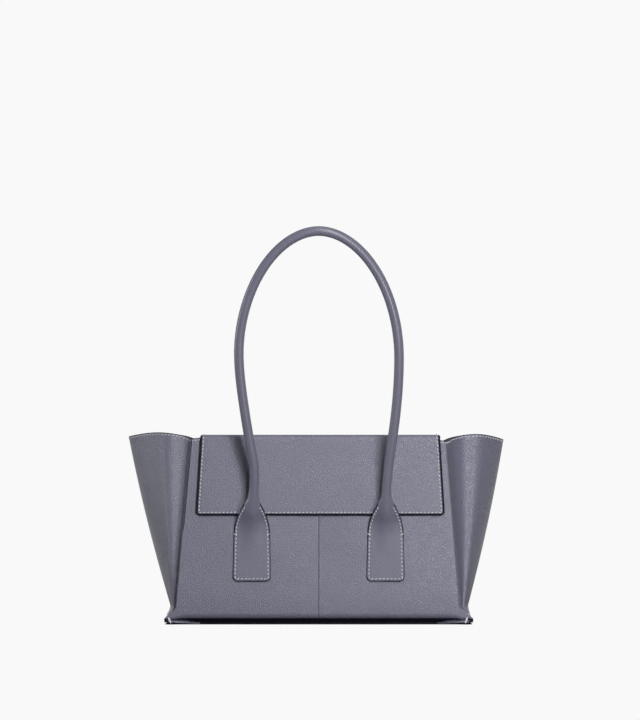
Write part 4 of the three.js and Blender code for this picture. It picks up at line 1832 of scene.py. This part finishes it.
        rows = range(len(stations))
        handle = lay_grid(f"{self.prefix()}_handle_leather", steps(0.0, 1.0, around), rows, place)
        dress(handle, self.palette.handle, self.palette.paint)
        rolled = handle.data.attributes.new("rolled", "FLOAT", "POINT")
        for i, value in enumerate(rolled.data):
            value.value = ease(stations[i // (around + 1)][1], *self.polished)
        for polygon in handle.data.polygons:
            row, column = divmod(polygon.index, around)
            height = (stations[row][1] + stations[row + 1][1]) / 2.0
            across = -math.cos(2.0 * math.pi * (column + 0.5) / around)
            cut = height < 0.85 * self.neck and self.inset(height, across) < 0.7 * self.edge_round
            polygon.material_index = int(cut)
        weld(handle, 2e-6)
        edit_all(handle, lambda: bpy.ops.mesh.normals_make_consistent(inside=False))
        smooth(handle, 60.0)
        return handle

    def build_core(self) -> Piece:
        """Returns the cord that the tube is rolled round."""
        stations = [station for station in self.line() if station[1] > self.neck]
        reach, centre = self.radius - self.wrap, self.tab - self.radius

        def place(turn: float, row: float) -> Vector:
            """Returns a point round the cord."""
            x, height, along_x, along_z = stations[round(row)]
            angle = 2.0 * math.pi * turn
            offset = reach * math.cos(angle)
            depth = centre + reach * math.sin(angle)
            return self.to_bag(x + along_z * offset, depth, height - along_x * offset)

        rows = range(len(stations))
        core = lay_grid(f"{self.prefix()}_handle_cord", steps(0.0, 1.0, 24), rows, place)
        dress(core, self.palette.cord)
        weld(core, 2e-6)
        edit_all(
            core,
            lambda: bpy.ops.mesh.fill_holes(sides=0),
            lambda: bpy.ops.mesh.normals_make_consistent(inside=False),
        )
        smooth(core, 60.0)
        return core

    def prefix(self) -> str:
        """Returns the first word of the handle's names."""
        return "front" if self.wall is Wall.FRONT else "rear"

    def tab_seams(self) -> list[SeamPath]:
        """Returns the row of stitches round each tab and up both edges of its neck."""
        half = self.half_line()
        top = next(i for i, station in enumerate(half) if station[1] > 0.74 * self.neck)
        low = next(i for i, station in enumerate(half) if station[1] >= -self.tab_length + self.stitch_inset)
        seams = []
        for side in Side:

            def at(station: Station, edge: float) -> SeamPoint:
                """Returns a point near the tab's left (-1) or right (1) edge, with the outward direction."""
                wide = max(self.half_width(station[1]), 0.004)
                return self.faced(station, edge * (1.0 - self.stitch_inset / wide), side)

            path = [at(half[i], -1.0) for i in range(top, low, -1)]
            path += [self.faced(half[low], across, side) for across in steps(-0.86, 0.86, 16)]
            path += [at(half[i], 1.0) for i in range(low + 1, top + 1)]
            seams.append(path)
        return seams

    def faced(self, station: Station, across: float, side: Side) -> SeamPoint:
        """Returns a point of the outer face of a side's tab, with the outward direction."""
        x, height, along_x, along_z = station

        def at(offset: float, rise: float) -> Vector:
            """Returns the face's point a little to the side or above."""
            moved = (-side.value * x, height + rise, along_x, along_z)
            return self.surface_point(moved, across + offset, True)

        step = 0.0004
        along = at(0.02, 0.0) - at(-0.02, 0.0)
        up = at(0.0, step) - at(0.0, -step)
        return at(0.0, 0.0), along.cross(up).normalized()

    def bar_tacks(self) -> list[SeamPath]:
        """Returns the short bar across each edge of a tab where the handle bends."""
        foot, reach = self.spacing / 2.0, self.tab_top_width / 2.0
        bars = []
        for centre in (-foot, foot):
            for sign in (-1.0, 1.0):
                ends = [centre + sign * (reach - inset) for inset in (0.0038, -0.0002)]
                bars.append([(self.to_bag(x, 0.0, 0.0), self.wall.outward()) for x in ends])
        return bars

    def sew(self, thread: Thread, tack: Thread) -> Piece:
        """Returns all the stitches of the handle as one object."""
        name = f"{self.prefix()}_handle_stitches"
        rows = [thread.sew(name, path) for path in self.tab_seams()]
        rows += [tack.sew(name, path) for path in self.bar_tacks()]
        return join(name, rows)

    def fit(self, leather: Piece, stitches: Piece, core: Piece) -> None:
        """Bakes the leather and stitches in place, hides the CAD nodes they replace and fixes the cord to
        the handle's body.
        """
        word = self.prefix()
        body = f"{word}_handle"
        start = self.to_bag(0.0, 0.0, self.bend_low)
        end = self.to_bag(0.0, 0.0, self.bend_high)
        for piece in (leather, stitches):
            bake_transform(piece)
            log.info("%s bends from bag to %s", piece.name, body)
        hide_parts(f"{word}_handle_cover", f"{word}_tab_left", f"{word}_tab_right")
        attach(core, body)
        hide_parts(f"{word}_handle_core")
        log.info("%s rides on %s", core.name, body)


@dataclass(frozen=True)
class Lamp:
    """A soft box.

    Attributes:
        azimuth: Degrees to the right of the camera's side.
        elevation: Degrees above the floor.
        distance: Metres from the bag.
        power: Watts.
        mirrored: Whether the leather's shine shows it.
    """

    name: str
    azimuth: float
    elevation: float
    distance: float
    size: tuple[float, float]
    power: float
    mirrored: bool = True

    def place(self, target: Vector) -> None:
        """Adds the lamp, aimed at a point."""
        side, rise = math.radians(self.azimuth), math.radians(self.elevation)
        back = Vector((math.sin(side) * math.cos(rise), -math.cos(side) * math.cos(rise), math.sin(rise)))
        data = bpy.data.lights.new(self.name, "AREA")
        data.shape = "RECTANGLE"
        data.size, data.size_y = self.size
        data.energy = self.power
        lamp = bpy.data.objects.new(self.name, data)
        lamp.location = target + back * self.distance
        lamp.rotation_euler = (-back).to_track_quat("-Z", "Y").to_euler()
        lamp.visible_camera = False
        lamp.visible_glossy = self.mirrored
        bpy.context.collection.objects.link(lamp)


@dataclass
class Studio:
    """Pale floor and surroundings, soft boxes and the camera.

    Attributes:
        backdrop: Colour of floor and surroundings, in screen values.
        fill: Level of the light from all round.
        room: Level of the backdrop in what mirrors the front of the room.
        floor_colour: What the floor sends back on to the bag.
        contact_reach: How close to the bag the floor's painted shadow reaches.
        camera_distance: The camera's distance from the bag's front.
        frame_centre: Place across and height of the middle of the picture, at the bag's front.
        picture_height: Height of the picture there.
        sensor: Width of the camera's sensor in millimetres.
    """

    backdrop: tuple[int, int, int] = (249, 249, 249)
    fill: float = 0.03
    room: float = 0.2
    floor_colour: tuple[float, float, float, float] = (0.12, 0.12, 0.12, 1.0)
    contact_reach: float = 0.05
    camera_height: float = 0.165
    camera_distance: float = 2.5
    frame_centre: tuple[float, float] = (0.0013, 0.264)
    picture_height: float = 0.72
    sensor: float = 36.0

    def floor(self) -> None:
        """Lays the floor, which shows the backdrop's colour, with a shadow painted in where the bag stands.
        """
        bpy.ops.object.select_all(action="DESELECT")
        bpy.ops.mesh.primitive_plane_add(size=40.0)
        floor = bpy.context.object
        floor.name = "floor"
        material, board = new_material("floor")
        pale = linear(*self.backdrop)
        reach = {"Color": pale, "Distance": self.contact_reach}
        # Painted shadow: ambient occlusion darkens the floor's emitted colour near the bag.
        open_sky = board.add("ShaderNodeAmbientOcclusion", reach, {"samples": 16}, "AO")
        painted_floor_shadow = board.add("ShaderNodeMapRange", {"Value": open_sky, "From Min": 0.32, "From Max": 0.5})
        way = board.place()
        shown = board.mix(painted_floor_shadow, (0.01, 0.01, 0.012, 1.0), pale)
        level = self.seen_level(board, way, 0.1, 0.6)
        seen = board.add("ShaderNodeEmission", {"Color": board.mix(level, BLACK, shown)})
        lit = board.add("ShaderNodeBsdfDiffuse", {"Color": self.floor_colour})
        surface = board.add("ShaderNodeMixShader", {0: self.seen_ray(board), 1: lit, 2: seen})
        board.add("ShaderNodeOutputMaterial", {"Surface": surface})
        dress(floor, material)

    @staticmethod
    def seen_ray(board: NodeBoard) -> Wire:
        """Returns 1 for rays that show the backdrop to the eye, straight or in a reflection or a glass."""
        path = board.add("ShaderNodeLightPath", output="Is Camera Ray")
        glossy = Wire(board, path.socket.node.outputs["Is Glossy Ray"])
        through = Wire(board, path.socket.node.outputs["Is Transmission Ray"])
        either = path.math("MAXIMUM", path, glossy)
        return either.math("MAXIMUM", either, through)

    def seen_level(self, board: NodeBoard, way: Wire, low: float, high: float) -> Wire:
        """Returns how bright the backdrop looks: full behind the bag, dim in reflections of the front.

        Args:
            board: Where to add the nodes.
            way: Direction or place on the backdrop.
            low: How far back it is still dim.
            high: How far back it is full.

        Returns:
            The level.
        """
        back = board.add("ShaderNodeSeparateXYZ", {"Vector": way}, output="Y")
        behind = board.add("ShaderNodeMapRange", {"Value": back, "From Min": low, "From Max": high})
        straight = board.add("ShaderNodeLightPath", output="Is Camera Ray")
        return straight.math("MAXIMUM", straight, behind * (1.0 - self.room) + self.room)

    def surroundings(self) -> None:
        """Gives the world its backdrop colour and its level of fill light."""
        world = bpy.data.worlds.new("studio")
        world.use_nodes = True
        bpy.context.scene.world = world
        board = NodeBoard(world.node_tree)
        lit = board.add("ShaderNodeBackground", {"Color": (1.0, 1.0, 1.0, 1.0), "Strength": self.fill})
        way = board.add("ShaderNodeTexCoord", output="Generated")
        level = self.seen_level(board, way, 0.35, 0.9)
        shown = board.mix(level, BLACK, linear(*self.backdrop))
        seen = board.add("ShaderNodeBackground", {"Color": shown})
        surface = board.add("ShaderNodeMixShader", {0: self.seen_ray(board), 1: lit, 2: seen})
        board.add("ShaderNodeOutputWorld", {"Surface": surface})

    def camera(self, front: float) -> None:
        """Sets up the camera, whose picture is drawn to scale at the depth of the bag's front."""
        data = bpy.data.cameras.new("camera")
        data.sensor_width = self.sensor
        data.lens = self.sensor * self.camera_distance / self.picture_height
        camera = bpy.data.objects.new("camera", data)
        x, z = self.frame_centre
        camera.location = (x, front - self.camera_distance, self.camera_height)
        view = Vector((x, front, z)) - camera.location
        camera.rotation_euler = view.to_track_quat("-Z", "Y").to_euler()
        bpy.context.collection.objects.link(camera)
        bpy.context.scene.camera = camera

    def build(self, form: BagForm) -> None:
        """Builds the studio."""
        self.floor()
        self.surroundings()
        target = Vector((0.0, 0.0, form.rim_height * 0.7))
        for lamp in (
            Lamp("key", 13.0, 24.0, 1.4, (0.35, 1.26), 14.0),
            Lamp("strip", 23.0, -5.0, 1.0, (0.086, 0.17), 3.1),
            Lamp("left_box", -85.0, 8.0, 1.5, (0.4, 1.0), 7.6),
            Lamp("rear_box", 172.0, 30.0, 1.6, (0.8, 0.6), 18.0, mirrored=False),
            Lamp("top_box", 0.0, 80.0, 1.3, (0.6, 0.5), 1.6),
        ):
            lamp.place(target)
        self.camera(-form.base_depth / 2.0)
        bpy.context.scene.view_settings.view_transform = "Standard"


def rear_fall(handle: Handle) -> float:
    """Returns how far the rear handle leans back until its top lies on the floor."""
    low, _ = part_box("rear_handle_cover")
    rest = low.z + handle.radius
    reach = handle.hinge().z - rest
    along = math.hypot(handle.drop, handle.tab - handle.radius)
    dip = math.asin(reach / along) - math.atan2(handle.radius - handle.tab, handle.drop)
    return math.pi / 2.0 + dip


def build_handles(form: BagForm, palette: Palette, thread: Thread) -> None:
    """Builds both handles."""
    tack = Thread(palette.thread, length=0.0040, thickness=0.0011, pitch=0.0040, slant=0.0)
    front = Handle(form, palette, Wall.FRONT, math.radians(14.0))
    rear = Handle(form, palette, Wall.BACK, 0.0)
    rear.lean = rear_fall(rear)
    for handle in (front, rear):
        handle.fit(handle.build(), handle.sew(thread, tack), handle.build_core())


def build_body(form: BagForm, palette: Palette, thread: Thread) -> None:
    """Builds the body halves with their stitches, and the base."""
    wrap = Thread(palette.thread, length=0.0072, thickness=0.0024, pitch=0.0072, slant=0.0)
    for side in Side:
        half = BodyHalf(form, palette, side)
        name = side.name.lower()
        nodes = (f"front_panel_{name}", f"wing_{name}", f"back_panel_{name}")
        set_on_bag(half.build(), "leather", *nodes)
        set_on_bag(thread.sew(f"rim_stitches_{name}", half.rim_seam()), None)
        rows = [thread.sew("ear_row", half.ear_seam())]
        rows += [wrap.sew("ear_end", path) for path in half.ear_ends()]
        set_on_bag(join(f"ear_stitches_{name}", rows), None)
    set_on_bag(BasePanel(form, palette).build(), "leather", "base_panel")


def build_inside(form: BagForm, palette: Palette) -> None:
    """Builds the facing and the linings."""
    layers = InnerLayers(form, palette)
    facings = ("front_facing", "back_facing", "wing_facing_left", "wing_facing_right")
    set_on_bag(layers.build_facing(), "leather", *facings)
    linings = ("front_lining", "back_lining", "wing_lining_left", "wing_lining_right")
    walls = layers.build_lining()
    set_on_bag(walls, "lining_cloth", *linings)
    around, height = layers.cloth_size()
    boards = [layers.build_wall_board(wall) for wall in Wall]
    for board, node in zip(boards, ("front_stiffener", "back_stiffener")):
        set_on_bag(board, "stiffener_board", node)
    set_on_bag(layers.build_base_board(), "stiffener_board", "base_board")
    floor = layers.build_floor()
    set_on_bag(floor, "lining_cloth", "base_lining")


def dress_hidden(palette: Palette) -> None:
    """Gives the CAD pieces that stay inside the bag their finishes."""
    steel = {"panel_magnet": palette.steel, "flap_magnet": palette.steel}
    for node, material in {"flap_stiffener": palette.board, **steel}.items():
        dress(frame["nodes"][node], material)
        log.info("%s keeps its CAD shape", node)


def main() -> None:
    """Builds the bag, its linings, flap and handles, and the studio round them."""
    logging.basicConfig(level=logging.INFO, format="%(message)s")
    form = BagForm()
    palette = Palette()
    thread = Thread(palette.thread)
    build_body(form, palette, thread)
    build_inside(form, palette)
    Flap(form, palette).build(thread)
    build_handles(form, palette, thread)
    dress_hidden(palette)
    Studio().build(form)


if __name__ == "__main__":
    main()
